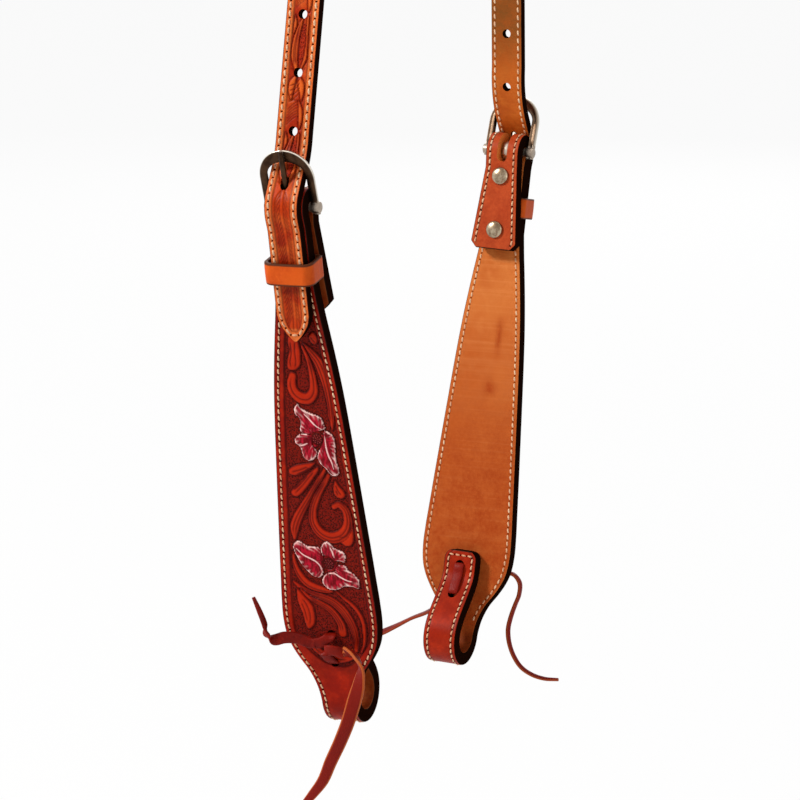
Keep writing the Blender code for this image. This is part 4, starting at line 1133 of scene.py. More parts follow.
class Carving:  # the height and dye of one tooled face, in millimetres
    def __init__(self, u, w):
        self.points = np.column_stack([u.ravel(), w.ravel()])
        self.rise = np.zeros(len(self.points))
        self.dye = np.zeros((len(self.points), 4))

    def near(self, path, reach):
        low, high = path.min(0) - reach, path.max(0) + reach
        return np.flatnonzero(((self.points > low) & (self.points < high)).all(1))

    def atLeast(self, pick, part, share):  # this much of one part of the dye, or more
        self.dye[pick, part] = np.maximum(self.dye[pick, part], share)

    def raiseUp(self, pick, depth, paint=0.0):  # depth is positive inside the shape
        inside, d = pick[depth > 0], depth[depth > 0]
        self.rise[inside] = -0.10 * bell(d / 0.35) + carving["dome"] * smoothStep(d / 1.6)
        self.dye[inside] = 0
        self.dye[inside, petal] = paint
        self.dye[inside, groove] = 0.55 * bell(d / 0.4) * (paint == 0)
        outside = pick[depth <= 0]
        sink = bell(-depth[depth <= 0] / carving["bevel"])
        self.rise[outside] += (-carving["depth"] - 0.12 - self.rise[outside]) * sink * 0.95
        self.atLeast(outside, groove, sink * 0.95)
        self.dye[outside, petal:groove] *= (1 - sink)[:, None]

    def vein(self, path, width=carving["veinWidth"], depth=carving["veinDepth"]):
        pick = self.near(path, 1.2)
        distance, at = toPath(self.points[pick], path)
        share = at / (len(path) - 1)
        cut = bell(distance / width) * smoothStep(np.minimum(share, 1 - share) / 0.16 + 0.2)
        self.rise[pick] -= depth * cut
        self.atLeast(pick, groove, cut * 0.8)

    def leaf(self, outline, joined=False):  # a joined one runs into the stem it lies on
        outline = closedCurve(outline)
        pick = self.near(outline, carving["near"])
        depth = depthIn(self.points[pick], outline)
        free = (self.dye[pick, ground] > 0.5) | ~np.array(joined)
        self.raiseUp(pick[free], depth[free])

    def stem(self, line, halves, veins=()):
        path, halves = openCurve(line, halves)
        pick = self.near(path, halves.max() + carving["near"])
        distance, at = toPath(self.points[pick], path)
        self.raiseUp(pick, np.interp(at, np.arange(len(path)), halves) - distance)
        off = np.gradient(path, axis=0)
        off = unit(np.column_stack([-off[:, 1], off[:, 0]]))
        wide = halves > 1.0
        for share in veins if wide.sum() > 2 else ():
            self.vein((path + off * halves[:, None] * share)[wide])

    def carvePetal(self, outline, fold, centre):  # a pale lip and rays, dark streaks and one fold
        pick = self.near(outline, carving["near"])
        depth = depthIn(self.points[pick], outline)
        self.raiseUp(pick, depth, 1.0)
        inside, d = pick[depth > 0], depth[depth > 0]
        away = self.points[inside] - centre
        far = np.linalg.norm(away, axis=1)
        turn = np.arctan2(away[:, 1], away[:, 0])
        uneven = 0.5 + 0.4 * np.sin(turn * 7 + far * 0.7) + 0.35 * np.sin(turn * 17 - far * 1.1)
        uneven = np.clip(uneven, 0, 1)
        lip = bell((d - 0.05) / (0.16 + 0.22 * uneven)) * (0.6 + 0.4 * uneven) * smoothStep((far - 3.2) / 2.6)
        rays = (0.5 + 0.5 * np.sin(turn * 30 + far * 0.6)) ** 2 * bell((d - 0.4) / 1.9)
        rays *= 0.25 + 0.75 * uneven
        wash = 0.16 * smoothStep((far - 4.0) / 5.0) * smoothStep((3.4 - d) / 2.6)
        self.rise[inside] += 0.20 * bell((d - 0.45) / 0.4) - 0.20 * smoothStep((6.5 - far) / 4.5)
        streaks = (0.5 + 0.5 * np.cos(turn * 34 + far * 0.5)) ** 3 * smoothStep((d - 0.35) / 0.5)
        streaks *= 0.25 + 0.75 * smoothStep((9.5 - far) / 6)
        self.dye[inside, rim] = np.clip(lip + wash + rays * 0.5 * smoothStep((far - 3.0) / 2.5), 0, 1)
        self.dye[inside, groove] = np.clip(streaks * 0.8 + 0.5 * smoothStep((4.4 - far) / 2.0), 0, 0.9)
        self.rise[inside] -= 0.12 * streaks
        path, _ = openCurve(fold)
        distance, at = toPath(self.points[inside], path)
        taper = 0.16 + 0.24 * np.sin(pi * np.clip(at / (len(path) - 1), 0.03, 0.97))
        crease = bell(distance / taper)
        self.rise[inside] += 0.20 * bell(distance / 0.5)
        self.atLeast(inside, rim, crease * 0.85)
        self.dye[inside, groove] *= 1 - crease
        self.atLeast(inside, groove, bell((distance - 0.75) / 0.3) * 0.45)

    def carveMiddle(self, centre, radius):  # rounds of beads
        pick = self.near(centre[None], radius + 1.0)
        far = np.linalg.norm(self.points[pick] - centre, axis=1)
        self.raiseUp(pick, radius - far)
        inside = pick[far < radius]
        turns = [(r, s + 2 * pi * i / n) for r, s, n in carving["beads"] for i in range(n)]
        seeds = np.array([(r * cos(turn), r * sin(turn)) for r, turn in turns])
        apart = np.linalg.norm(self.points[inside][:, None] - centre - seeds[None], axis=2).min(1)
        bead = np.exp(-((apart / 0.34) ** 4))
        self.rise[inside] = -0.28 + 0.30 * bead
        self.dye[inside, ground], self.dye[inside, petal] = 0, 0.4
        self.dye[inside, rim], self.dye[inside, groove] = 0.30 * bead, 1.15 * (1 - bead)

    def flower(self, centre, radius, petals):
        centre = np.array(centre)
        outlines = [closedCurve(outline) for outline, _ in petals]
        for outline in outlines:  # each petal reaches in under the centre
            inner = outline[np.linalg.norm(outline - centre, axis=1).argsort()[: len(outline) // 3]]
            pick = self.near(np.vstack([inner, centre]), 4.0)
            distance, _ = toPath(self.points[pick], np.vstack([inner.mean(0), centre]))
            self.raiseUp(pick, 2.6 - distance, 0.9)
        for outline, (_, fold) in zip(outlines, petals):
            self.carvePetal(outline, fold, centre)
        self.carveMiddle(centre, radius)


def carvePanel(work, half, u, w, top, bottom, margins):  # sunken ground inside a cut border line
    left, right = margins
    inset = np.minimum(u + half - left, half - right - u)
    inset = np.minimum(inset, np.minimum(w - top, bottom - w)).ravel()
    work.rise -= carving["depth"] * smoothStep(inset / 0.5)
    work.dye[:, ground] = smoothStep((inset - 0.1) / 0.4)
    line = bell(inset / carving["border"])
    work.rise -= carving["borderDepth"] * line
    work.dye[:, groove] = line * 0.95
    return inset


def carveCheek(rows, columns, mirror):
    n, down = rows["route"].T
    onFront = (n > 0) & (down > carving["front"][0]) & (down < carving["front"][1])
    half = rows["half"][:, None] * 1000
    u = np.linspace(-1, 1, columns)[None] * (half - 0.7)
    whole = np.ones((1, columns))
    flat, w = (u * mirror)[onFront], (rows["route"][:, 1:2] * 1000 * whole)[onFront]
    work = Carving(flat, w)
    bottom = smoothThrough(*zip(*carving["bottom"]), flat.ravel()).reshape(flat.shape)
    inset = carvePanel(work, (half * whole)[onFront], flat, w, carving["top"], bottom, carving["margins"])
    leaves, stems = cheekPattern["leaf"], cheekPattern["stem"]
    for stem in stems[:4]:
        work.stem(*stem)
    for outline in leaves:
        work.leaf(outline, outline is leaves[-1])
    for stem in stems[4:]:
        work.stem(*stem)
    for path in cheekPattern["vein"]:
        work.vein(openCurve(path)[0])
    for flower in cheekPattern["flower"]:
        work.flower(*flower)
    outside = smoothStep(-(inset + 0.05) / 0.35)
    line = bell(inset / carving["border"])
    keep = outside < 1
    work.dye[:, :groove] *= (1 - outside)[:, None]
    work.rise = np.where(keep, work.rise, -carving["borderDepth"] * line)
    work.dye[:, groove] = np.where(keep, np.maximum(work.dye[:, groove], line * 0.9), line * 0.9)
    rise, dye = np.zeros(u.shape), np.zeros(u.shape + (4,))
    rise[onFront] = work.rise.reshape(-1, columns)
    dye[onFront] = work.dye.reshape(-1, columns, 4)
    channel = bell((half - np.abs(u) - 2.3) / 0.55)  # the stitches lie in it
    rise -= 0.18 * channel * (rows["along"][:, None] > 0.002)
    dye[..., groove] = np.maximum(dye[..., groove], channel * 0.12)
    return rise / 1000, dye


def cheekTone(rows):  # lighter leather on the buckle tab behind the cheek, redder on the bit tab
    n, w = rows["route"].T
    tab = ((n < 0) & (w < 0.05)) * 1.0
    return tab * 0.8 + ((n < 0) & (w > 0.15)) * 0.13


strapPattern = {  # between one hole and the next, in millimetres across and up from the lower hole
    "leafy": {
        "stem": (
            (((-2.2, 13.8), (-2.6, 17.5), (-2.2, 21.0), (-0.6, 24.0)), (0.4, 1.3, 1.5, 0.5), ()),
            (((2.6, 13.0), (2.6, 17.0), (1.9, 20.5), (0.8, 23.6)), (0.3, 1.1, 1.5, 0.6), ()),
            (((2.8, 1.0), (3.0, 5.0), (2.7, 9.0), (1.6, 13.0)), (0.3, 1.0, 1.0, 0.3), ()),
        ),
        "vein": [((-3.6, 12.6), (-1.0, 13.4), (1.8, 12.8))]
        + [((1.6, 23.2 - 2.1 * i), (-0.2, 20.9 - 2.1 * i), (-3.3, 19.4 - 2.1 * i)) for i in range(4)],
        "hatch": [
            ((-3.7, 4.0 + 1.3 * i - 1.6), (-1.4, 6.4 + 1.3 * i - 1.6), (1.4, 8.2 + 1.3 * i - 1.6))
            for i in range(6)
        ],
        "ground": (1.2, 2.6, 4.0, 12.5),
    },
    "flowing": {
        "stem": (
            (
                ((0.4, 23.6), (-1.2, 19.0), (-2.2, 13.0), (-2.3, 7.0), (-1.0, 1.6)),
                (0.4, 1.1, 1.5, 1.6, 0.9), (0.25,),
            ),
            (((2.9, 24.0), (2.9, 18.0), (3.0, 12.0), (2.7, 5.5), (1.4, 2.0)), (0.5, 0.5, 0.5, 0.8, 0.5), ()),
            (((-3.3, 24.5), (-3.0, 21.0), (-3.5, 17.0)), (0.3, 0.8, 0.3), ()),
        ),
        "vein": [
            ((-0.4, 22.0), (-1.9, 16.0), (-2.7, 9.0), (-2.0, 3.0)), ((-3.6, 2.0), (-1.6, 0.4), (0.0, -2.6)),
            ((3.4, 2.6), (1.9, 0.0), (0.6, -2.8)),
        ],
        "hatch": (),
        "ground": (-0.4, 2.4, 4.0, 21.5),
    },
}


strapCuts = (("vein", 0.34, 0.20), ("hatch", 0.30, 0.14))  # each kind's width and depth


def carveBillet(work, inside, tongueHole):  # two stems, with feathers curving off them
    u, s = work.points.T
    centre = 0.5 * np.sin((s - 8) / 13)
    for off, wide in ((-0.2, 0.34), (1.5, 0.26)):
        cut = bell(np.abs(u - centre - off) / wide) * (s < tongueHole - 2) * inside
        work.rise -= 0.16 * cut
        work.atLeast(slice(None), groove, cut * 0.75)
    for k, low in enumerate(np.arange(11.0, tongueHole - 3, 2.1)):
        stem, sway = 0.5 * sin((low - 8) / 13), 0.5 + 0.5 * sin(k * 1.1)
        left = (
            (stem - 0.2, low + 1.4), (stem - 1.3, low - 0.4), (stem - 2.3, low - 2.8),
            (-3.2 - 0.3 * sway, low - 5.0 - sway),
        )
        right = ((stem + 1.6, low + 1.0), (stem + 2.3, low - 0.6), (3.0 + 0.3 * sway, low - 3.0 - sway))
        work.vein(openCurve(left, step=carving["strapStep"])[0], 0.30 + 0.12 * sway, 0.24)
        work.vein(openCurve(right, step=carving["strapStep"])[0], 0.26, 0.18)


def carveStrap(rows, columns, tongueHole):
    along = rows["along"] * 1000
    total = along[-1]
    half = rows["half"][:, None] * 1000
    u = np.linspace(-1, 1, columns)[None] * np.maximum(half - 0.6, half * 0.4)
    u = u * np.where(along < total / 2, 1, -1)[:, None]
    s = fromEnds(along)[:, None] * np.ones((1, columns))
    work = Carving(u, s)
    inset = np.minimum((half - np.abs(u)) * 0.9 - 3.3, s - 5.2).ravel()
    inside = smoothStep(inset / 0.4)
    work.rise -= 0.24 * inside
    carveBillet(work, inside, tongueHole)
    for k, low in enumerate(np.arange(tongueHole, total / 2 + 20, strap["holeSpacing"] * 1000)):
        motif = strapPattern["leafy" if k % 2 else "flowing"]
        left, right, bottom, top = motif["ground"]
        x, y = work.points.T
        here = np.minimum.reduce((x - left, right + 0.8 - x, y - low - bottom, low + top - y))
        dug = smoothStep(here / 0.4) * inside
        work.rise -= 0.22 * dug
        work.atLeast(slice(None), ground, dug)
        for line, halves, veins in motif["stem"]:
            work.stem(np.array(line) + (0, low), np.array(halves), veins)
        for kind, width, depth in strapCuts:
            for line in motif[kind]:
                line = openCurve(np.array(line) + (0, low), step=carving["strapStep"])[0]
                work.vein(line, width, depth)
    line = bell(inset / 0.36)
    work.dye[:, :groove] *= (inset > 0)[:, None]
    kept = np.maximum(work.dye[:, groove] * inside, line * 0.9)
    work.dye[:, groove] = np.where(inset < 0.05, line * 0.9, kept)
    work.rise = np.where(inset < 0.05, -0.26 * line, work.rise - 0.16 * line)
    work.rise -= 0.14 * bell((half - np.abs(u) - 1.9) / 0.6).ravel()
    return (work.rise / 1000).reshape(-1, columns), work.dye.reshape(-1, columns, 4)


stitch = {
    "length": 0.0026, "radius": 0.00040, "sides": 6, "rings": 5, "reach": 0.92, "sink": 0.00050,
    "pitch": 0.0032, "ahead": 0.0007,
}
awlShade = {"half": 0.00036, "wide": 0.00064, "low": -0.0001, "tips": ((0, 0, 0.00005), (0, 0, -0.00015))}


def stitchShape():  # one stitch along X, its ends drawn down into their holes
    count = stitch["sides"]
    points = []
    for x in np.linspace(-stitch["reach"], stitch["reach"], stitch["rings"]):
        girth, drop = stitch["radius"] * (1 - 0.55 * abs(x) ** 3), stitch["sink"] * x**4
        for i in range(count):
            turn = 2 * pi * i / count
            points.append((x * stitch["length"] / 2, girth * 1.1 * cos(turn), girth * sin(turn) - drop))
    faces = []
    for i in range(stitch["rings"] - 1):
        for j in range(count):
            k = (j + 1) % count
            faces.append((i * count + j, i * count + k, (i + 1) * count + k, (i + 1) * count + j))
    faces.append(tuple(range(count))[::-1])
    faces.append(tuple(range((stitch["rings"] - 1) * count, stitch["rings"] * count)))
    return np.array(points), faces


def awlHole():  # the dent between two stitches, a low closed lens whose dark colour is painted shade
    points = [(awlShade["half"] * cos(a), awlShade["wide"] * sin(a), awlShade["low"]) for a in np.arange(6) * pi / 3]
    faces = [(i, (i + 1) % 6, 6) for i in range(6)] + [((i + 1) % 6, i, 7) for i in range(6)]
    return np.array(points + list(awlShade["tips"])), faces


def sewLine(name, paths, pitch, slant, girth=1.0, marks="awlShade"):  # paths are (places, normals)
    shape, shapeFaces = stitchShape()
    shape = shape * (pitch / stitch["pitch"], girth, girth)
    bodies = ((shape, shapeFaces, 0.5), (*awlHole(), 0.0))
    points, faces, slots = [], [], []
    count = 0
    for places, normals in paths:
        reach = lengthAlong(places)
        total = max(1, round(reach[-1] / pitch))
        step = reach[-1] / total
        for kind, (body, bodyFaces, shift) in enumerate(bodies):
            centres = (np.arange(total) + shift) * step
            at, ahead, behind = (readAt(centres + stitch["ahead"] * way, reach, places) for way in (0, 1, -1))
            out = unit(readAt(centres, reach, normals))
            along = unit(ahead - behind)
            side = unit(np.cross(out, along))
            along = np.cross(side, out)
            turned = along * cos(slant) + side * sin(slant)
            side = side * cos(slant) - along * sin(slant)
            for p, t, b, n in zip(at, turned, side, out):
                points.append(p + body[:, :1] * t + body[:, 1:2] * b + body[:, 2:] * n)
                faces += [tuple(i + count for i in face) for face in bodyFaces]
                slots += [kind] * len(bodyFaces)
                count += len(body)
    made = makeMesh(name, np.vstack(points), faces, [materials["thread"], materials[marks]])
    made.data.polygons.foreach_set("material_index", slots)
    made.data.shade_smooth()
    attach(made, "headstall")


def seamLines(rows, inset, lift, endInset, crossing, upTo=None):  # down both edges, and across an end
    along = rows["along"]
    keep = (along > endInset) & (along < along[-1] - endInset) & (rows["half"] > inset + 0.0003)
    if upTo is not None:
        keep &= upTo
    place, across = rows["place"][keep], rows["across"][keep]
    normal, half = rows["normal"][keep], rows["half"][keep][:, None] - inset
    out = normal * lift
    left, right = place - across * half + out, place + across * half + out
    normal = normal * np.sign(lift)
    if not crossing:
        return [(left, normal), (right, normal)]
    places, normals = np.vstack([left, right[::-1]]), np.vstack([normal, normal[::-1]])
    if crossing == "both":
        places, normals = np.vstack([places, left[:1]]), np.vstack([normals, normal[:1]])
    return [(places, normals)]


print("making cheeks")
cheekSeam = {
    "columns": 104, "liningColumns": 30, "inset": 0.0023, "pitch": 0.0032, "slant": radians(9),
    "lift": 0.0001,
}
cheekHoles = {
    "through": 0.040, "slotRun": 0.020, "screw": 0.0028, "head": 0.0045, "sink": 0.0013, "headDepth": 0.020,
    "tieThrough": 0.080,
}


def cheekCutters(side, recess):
    matrix = heelFrame(side)
    outward, upward = cheekWay(matrix, 0, 1, 0), cheekWay(matrix, 0, 0, -1)

    def cut(radius, depth, drop, middle=0, length=0.0):
        return punch(radius, depth, facing(matrix @ fromCheek(0, middle, drop), upward, outward), length)

    through, deep = cheekHoles["through"], cheekHoles["headDepth"]
    tools = [cut(buckle["slotWidth"] / 2, through, buckle["slotDrop"], length=cheekHoles["slotRun"])]
    for drop in screwDrops.values():
        tools.append(cut(cheekHoles["screw"], through, drop))
        if recess:
            tools.append(cut(cheekHoles["head"], deep, drop, leafFace - cheekHoles["sink"] + deep / 2))
    return tools + [cut(tie["hole"], cheekHoles["tieThrough"], drop) for drop in (tieUpper, tieLower)]


def liningStainsAndShade(rows, side):  # how dark the lining is: darker towards the bit end, stained on the far side, and painted shade inside the bit loop and on the rows folded behind the cheek
    n, down = rows["route"].T
    # rows inside the bit loop and folded behind the cheek, darkened as painted shade
    loopShade = np.maximum(smoothStep((down - 0.222) / 0.016), n < -0.001)
    # darker towards the bit end, and darkest on the painted shade rows
    liningTone = np.maximum(0.95 * smoothStep((down - 0.03) / 0.15), loopShade)[:, None]
    across = np.linspace(-1, 1, cheekSeam["liningColumns"])[None] * rows["half"][:, None]
    down = down[:, None]
    stain = bell((across + 0.005) / 0.0017) * smoothStep((down - 0.077) / 0.01)
    stain = stain * smoothStep((0.104 - down) / 0.012)
    spot = np.exp(-(((across + 0.003) / 0.003) ** 2) - ((down - 0.115) / 0.004) ** 2)
    return np.clip(liningTone + (0.62 * stain + 0.4 * spot) * (side == "far"), 0, 1), loopShade[:, None]


def makeCheek(side):
    rows = cheekRows(side)
    mirror = 1 if side == "near" else -1
    outerLift, liningLift = gap / 2 + cheek["outer"], gap / 2 + cheek["lining"]
    outer = leatherLayer(
        side + "_cheek_tooled", rows, outerLift, 1, cheekSeam["columns"], 0.0007, materials["tooled"],
        carveCheek(rows, cheekSeam["columns"], mirror), cheekTone(rows),
    )
    thin = thinned(rows, 2)
    liningTone, loopShade = liningStainsAndShade(thin, side)
    lining = leatherLayer(
        side + "_cheek_backing", thin, liningLift, -1, cheekSeam["liningColumns"], 0.0006,
        # shade here is painted shade inside the bit loop
        materials["lining"], tone=liningTone, shade=0.42 * loopShade,
    )
    for piece, recess in ((outer, True), (lining, False)):
        for i, tool in enumerate(cheekCutters(side, recess)):
            # the buckle slot shows pale cut leather; the other hole walls are painted shade
            cutAway(piece, [tool], "holeShade" if i else "paleCut")
        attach(piece, "headstall")
    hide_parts(side + "_cheek_outer")
    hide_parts(side + "_cheek_lining")
    inset, pitch, slant, lift = (cheekSeam[key] for key in ("inset", "pitch", "slant", "lift"))
    outside = (rows["route"][:, 1] < loopCentre - 0.006) & (rows["route"][:, 0] > 0)
    paths = seamLines(rows, inset, outerLift + lift, inset, "end")
    backs = seamLines(rows, inset, -(liningLift + lift), inset, "", outside)
    sewLine(side + "_cheek_stitches", paths, pitch, slant * mirror)
    sewLine(side + "_cheek_back_stitches", backs, pitch, slant, marks="paleAwlShade")
    print(side, "cheek made,", len(outer.data.polygons), "faces")


for side in ("near", "far"):
    makeCheek(side)

crown = {
    "columns": 46, "liningColumns": 14, "inset": 0.0019, "pitch": 0.0037, "slant": radians(7),
    "lift": 0.00008, "endInset": 0.0035, "through": 0.020,
}


def strapHoles(rows):  # how far along the strap each tongue crossing lies
    found = {}
    for side in ("near", "far"):
        crossing = tongueCrossing()
        place = heelFrame(side) @ fromCheek(0, crossing.x, -crossing.y)
        found[side] = rows["along"][np.linalg.norm(rows["place"] - np.array(place), axis=1).argmin()]
    return found


def strapCutters(rows):
    tools = []
    start, end = tongueLine()
    along = (end - start).normalized()
    crossing = tongueCrossing()
    for side, nearest in strapHoles(rows).items():
        matrix = heelFrame(side)
        place = matrix @ fromCheek(0, crossing.x, -crossing.y)
        axis, raised = cheekWay(matrix, 0, along.x, -along.y), cheekWay(matrix, 0, along.y, along.x)
        radius, swing = buckle["wire"] + buckle["ease"], crossing.length * buckle["swing"]
        tools.append(punch(radius, crown["through"], facing(place, raised, axis), swing))
        spacing = strap["holeSpacing"] * (1 if side == "near" else -1)
        for i in range(1, strap["holes"]):
            at = nearest + spacing * i
            point, out = (readAt(at, rows["along"], rows[key])[0].tolist() for key in ("place", "normal"))
            tools.append(punch(strap["holeRadius"], crown["through"], facing(point, (1, 0, 0), out)))
    return tools


def makeCrown():
    rows = strapRows()
    columns = crown["columns"]
    carved = carveStrap(rows, columns, strapHoles(rows)["near"] * 1000)
    fromTip = fromEnds(rows["along"])[:, None]
    inMargin = smoothStep((np.abs(np.linspace(-1, 1, columns)) * strapHalf - 0.0042) / 0.0006)
    margin = np.maximum(inMargin[None], smoothStep((0.0068 - fromTip) / 0.001)) * 0.85
    outer = leatherLayer(
        "crown_tooled", rows, strapOuter, 1, columns, 0.0006, materials["strap"], carved, margin,
    )
    thin = thinned(rows, 3)
    liningLift = gap / 2 + strap["lining"]
    # the lining is darker away from the tips, along the poll
    liningTone = 0.95 * smoothStep((fromEnds(thin["along"]) - 0.082) / 0.055)
    lining = leatherLayer(
        "crown_backing", thin, liningLift, -1, crown["liningColumns"], 0.0005, materials["strapLining"],
        tone=liningTone,
    )
    for piece in (outer, lining):
        cutAway(piece, strapCutters(rows))
        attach(piece, "headstall")
    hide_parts("crown_outer")
    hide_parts("crown_lining")
    inset, pitch, slant, lift = (crown[key] for key in ("inset", "pitch", "slant", "lift"))
    paths = seamLines(rows, inset, strapOuter + lift, crown["endInset"], "both")
    backs = seamLines(rows, inset, -(liningLift + lift), crown["endInset"], "both")
    sewLine("crown_stitches", paths, pitch, slant, 1.25)
    sewLine("crown_back_stitches", backs, pitch, slant, 1.15, "paleAwlShade")
    print("crown strap made,", len(outer.data.polygons), "faces")


makeCrown()


def buckleMatrix(side):
    matrix, tilt = heelFrame(side), buckle["tilt"]
    towardToe, offFace = cheekWay(matrix, 0, sin(tilt), -cos(tilt)), cheekWay(matrix, 0, cos(tilt), sin(tilt))
    return facing(matrix.translation, towardToe.cross(offFace), offFace)


def lathe(name, profile, matrix, vertices=40):  # a disc drawn up and scaled through (radius, height)
    bpy.ops.object.select_all(action="DESELECT")
    radius, height = profile[0]
    bpy.ops.mesh.primitive_circle_add(
        vertices=vertices, radius=radius, fill_type="NGON", location=(0, 0, height),
    )
    made = bpy.context.active_object
    made.name = made.data.name = name
    bpy.ops.object.transform_apply(location=True, rotation=True, scale=True)
    bpy.ops.object.mode_set(mode="EDIT")
    bpy.ops.mesh.select_all(action="SELECT")
    for wide, high in profile[1:]:
        bpy.ops.mesh.extrude_region_move(TRANSFORM_OT_translate={"value": (0, 0, high - height)})
        bpy.ops.transform.resize(value=(wide / radius, wide / radius, 1), center_override=(0, 0, high))
        radius, height = wide, high
    bpy.ops.mesh.select_all(action="SELECT")
    bpy.ops.mesh.normals_make_consistent(inside=False)
    bpy.ops.object.mode_set(mode="OBJECT")
    made.data.transform(matrix)
    smoothBy(made, 40)
    return made


casting = {
    "columns": 11, "rows": 91, "dome": 0.0005, "edge": 0.0006, "heelShare": 0.22, "toeShare": 0.56,
    "barEnd": 0.001, "knobEnd": 0.0001, "knob": ((0.0018, 0), (0.0024, 0.0003), (0.0026, 0.0008)),
}


def horseshoe():  # inner and outer edges of the buckle, from one heel round the toe to the other
    inner, outer = [], []
    heel, straight = buckle["heel"], casting["heelShare"]
    for i in range(casting["rows"]):
        share = i / (casting["rows"] - 1)
        end = min(share, 1 - share)
        if end < straight:
            run, sign = end / straight, -1 if share < 0.5 else 1
            outer.append((sign * limbOuter, -heel + run * (buckle["reach"] - buckle["outerRise"] + heel)))
            inner.append((sign * limbInner, -heel + run * (toeInner - buckle["innerRise"] + heel)))
        else:
            turn = pi * (1 - (share - straight) / casting["toeShare"])
            outer.append((limbOuter * cos(turn), buckle["reach"] - buckle["outerRise"] * (1 - sin(turn))))
            inner.append((limbInner * cos(turn), toeInner - buckle["innerRise"] * (1 - sin(turn))))
    return np.array(inner), np.array(outer)


def castingMarks(data, back):  # bright at the rubbed outer rim and bar ends, aged dark in front
    marks = np.zeros((len(data.vertices), 4))
    bow, rise = buckle["reach"] - buckle["outerRise"], buckle["outerRise"]
    for vertex in data.vertices:
        spot = back @ vertex.co
        reach = Vector((spot.x / limbOuter, max(spot.y - bow, 0) / rise)).length
        marks[vertex.index, 0] = float(smoothStep((reach - 0.965) / 0.02)) * 0.9
        marks[vertex.index, 1] = 0.35 + 0.65 * float(smoothStep((spot.z - 0.0001) / 0.0006))
        if abs(spot.y) < 0.0031 and abs(spot.x) > limbInner - 0.0005:
            marks[vertex.index, :2] = (0.30, 0.1)
    putColours(data, "finish", marks)


def makeBuckle(side):
    matrix = buckleMatrix(side)
    inner, outer = horseshoe()
    lines, dome = casting["rows"] - 1, casting["dome"]
    bpy.ops.object.select_all(action="DESELECT")
    bpy.ops.mesh.primitive_grid_add(x_subdivisions=lines, y_subdivisions=casting["columns"] - 1, size=2)
    ring = bpy.context.active_object
    for vertex in ring.data.vertices:
        i = round((vertex.co.x + 1) / 2 * lines)
        share = (vertex.co.y + 1) / 2
        spot = inner[i] + (outer[i] - inner[i]) * share
        vertex.co = (spot[0], spot[1], buckle["thick"] / 2 - dome + dome * (1 - (2 * share - 1) ** 2))
    wall = {"thickness": buckle["thick"] - dome, "offset": -1}
    wallUp(ring, wall, {"width": casting["edge"], "segments": 4, "angle_limit": radians(50)})
    ring.data.transform(matrix)
    along = matrix @ Matrix.Rotation(pi / 2, 4, "Y")
    barEnd = limbInner + casting["barEnd"]
    parts = [ring, lathe(side + "_bar", [(buckle["bar"], -barEnd), (buckle["bar"], barEnd)], along)]
    for end in (-1, 1):
        middle = end * (limbInner + limbOuter) / 2
        reach = buckle["limb"] / 2 + casting["knobEnd"]
        profile = [(r, run - reach) for r, run in casting["knob"]]
        profile += [(r, reach - run) for r, run in casting["knob"][::-1]]
        parts.append(lathe(side + "_knob", [(r, h + middle) for r, h in profile], along, 32))
    made = joined(parts)
    made.name = made.data.name = side + "_buckle_casting"
    coverWith(made, materials["steel"])
    smoothBy(made, 40)
    castingMarks(made.data, matrix.inverted())
    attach(made, side + "_buckle")
    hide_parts(side + "_buckle_frame")


tongue = {"width": 0.0027, "thick": 0.0024, "overhang": 0.0005, "hook": radians(255), "endDrop": 0.0002}


def makeTongue(side):
    matrix = buckleMatrix(side)
    hook = arcPoints((0, 0), tongueRing, -tongue["hook"], 0, radians(14))
    path = [(0, y, z) for z, y in hook]
    toeMiddle = toeInner + buckle["toe"] / 2
    for share in (0.25, 0.5, 0.75, 1.0):
        path.append((0, toeMiddle * share, tongueRing + (tongueLift - tongueRing) * share))
    path.append((0, buckle["reach"] + tongue["overhang"], tongueLift - tongue["endDrop"]))
    path = [tuple(matrix @ Vector(point)) for point in path]
    way = tuple(matrix.to_3x3() @ Vector((1, 0, 0)))
    widths = np.concatenate([np.full(len(hook) - 2, 1.35), [1.25, 1.1, 1.0, 0.95, 0.9, 0.85, 0.62]])
    made, _ = ribbon(
        side + "_tongue_wire", path, [way] * len(path), tongue["width"], tongue["thick"], materials["steel"],
        widths, 0.0006, 2.3, side + "_tongue",
    )
    made.data.attributes.remove(made.data.attributes["finish"])
    marks = np.zeros((len(made.data.vertices), 4))
    back = matrix.inverted()
    for vertex in made.data.vertices:
        spot = back @ vertex.co
        infront = float(smoothStep((spot.z - tongueLift + 0.0007) / 0.0006)) * (spot.y > 0.003)
        marks[vertex.index, :2] = (0.6 * (1 - infront), infront)
    putColours(made.data, "finish", marks)
    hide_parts(side + "_buckle_tongue")


keeper = {
    "height": 0.0100, "thick": 0.0018, "drop": 0.0270, "frontRadius": 0.0034, "downTravel": 0.0030,
    "bulge": 0.0004, "count": 120, "steps": 6, "edge": 0.0004,
}


def keeperOutline(count):
    lowLimit = keeper["drop"] + keeper["downTravel"] + keeper["height"] / 2
    wall = keeper["thick"] / 2
    half = max(float(cheekHalfAt(np.array([lowLimit]))[0]), strapHalf) + gap + wall
    front = billetFace + gap + wall
    back = wall + gap / 2
    radius = keeper["frontRadius"]
    outline = np.vstack([
        arcPoints((half - back, back), back, -pi / 2, 0, radians(9)),
        arcPoints((half - radius, front - radius), radius, 0, pi / 2, radians(6)),
    ])
    outline = np.vstack([outline, outline[::-1] * (-1, 1), outline[:1]])
    reach = lengthAlong(outline)
    return readAt(np.linspace(0, reach[-1], count, endpoint=False), reach, outline), half, front


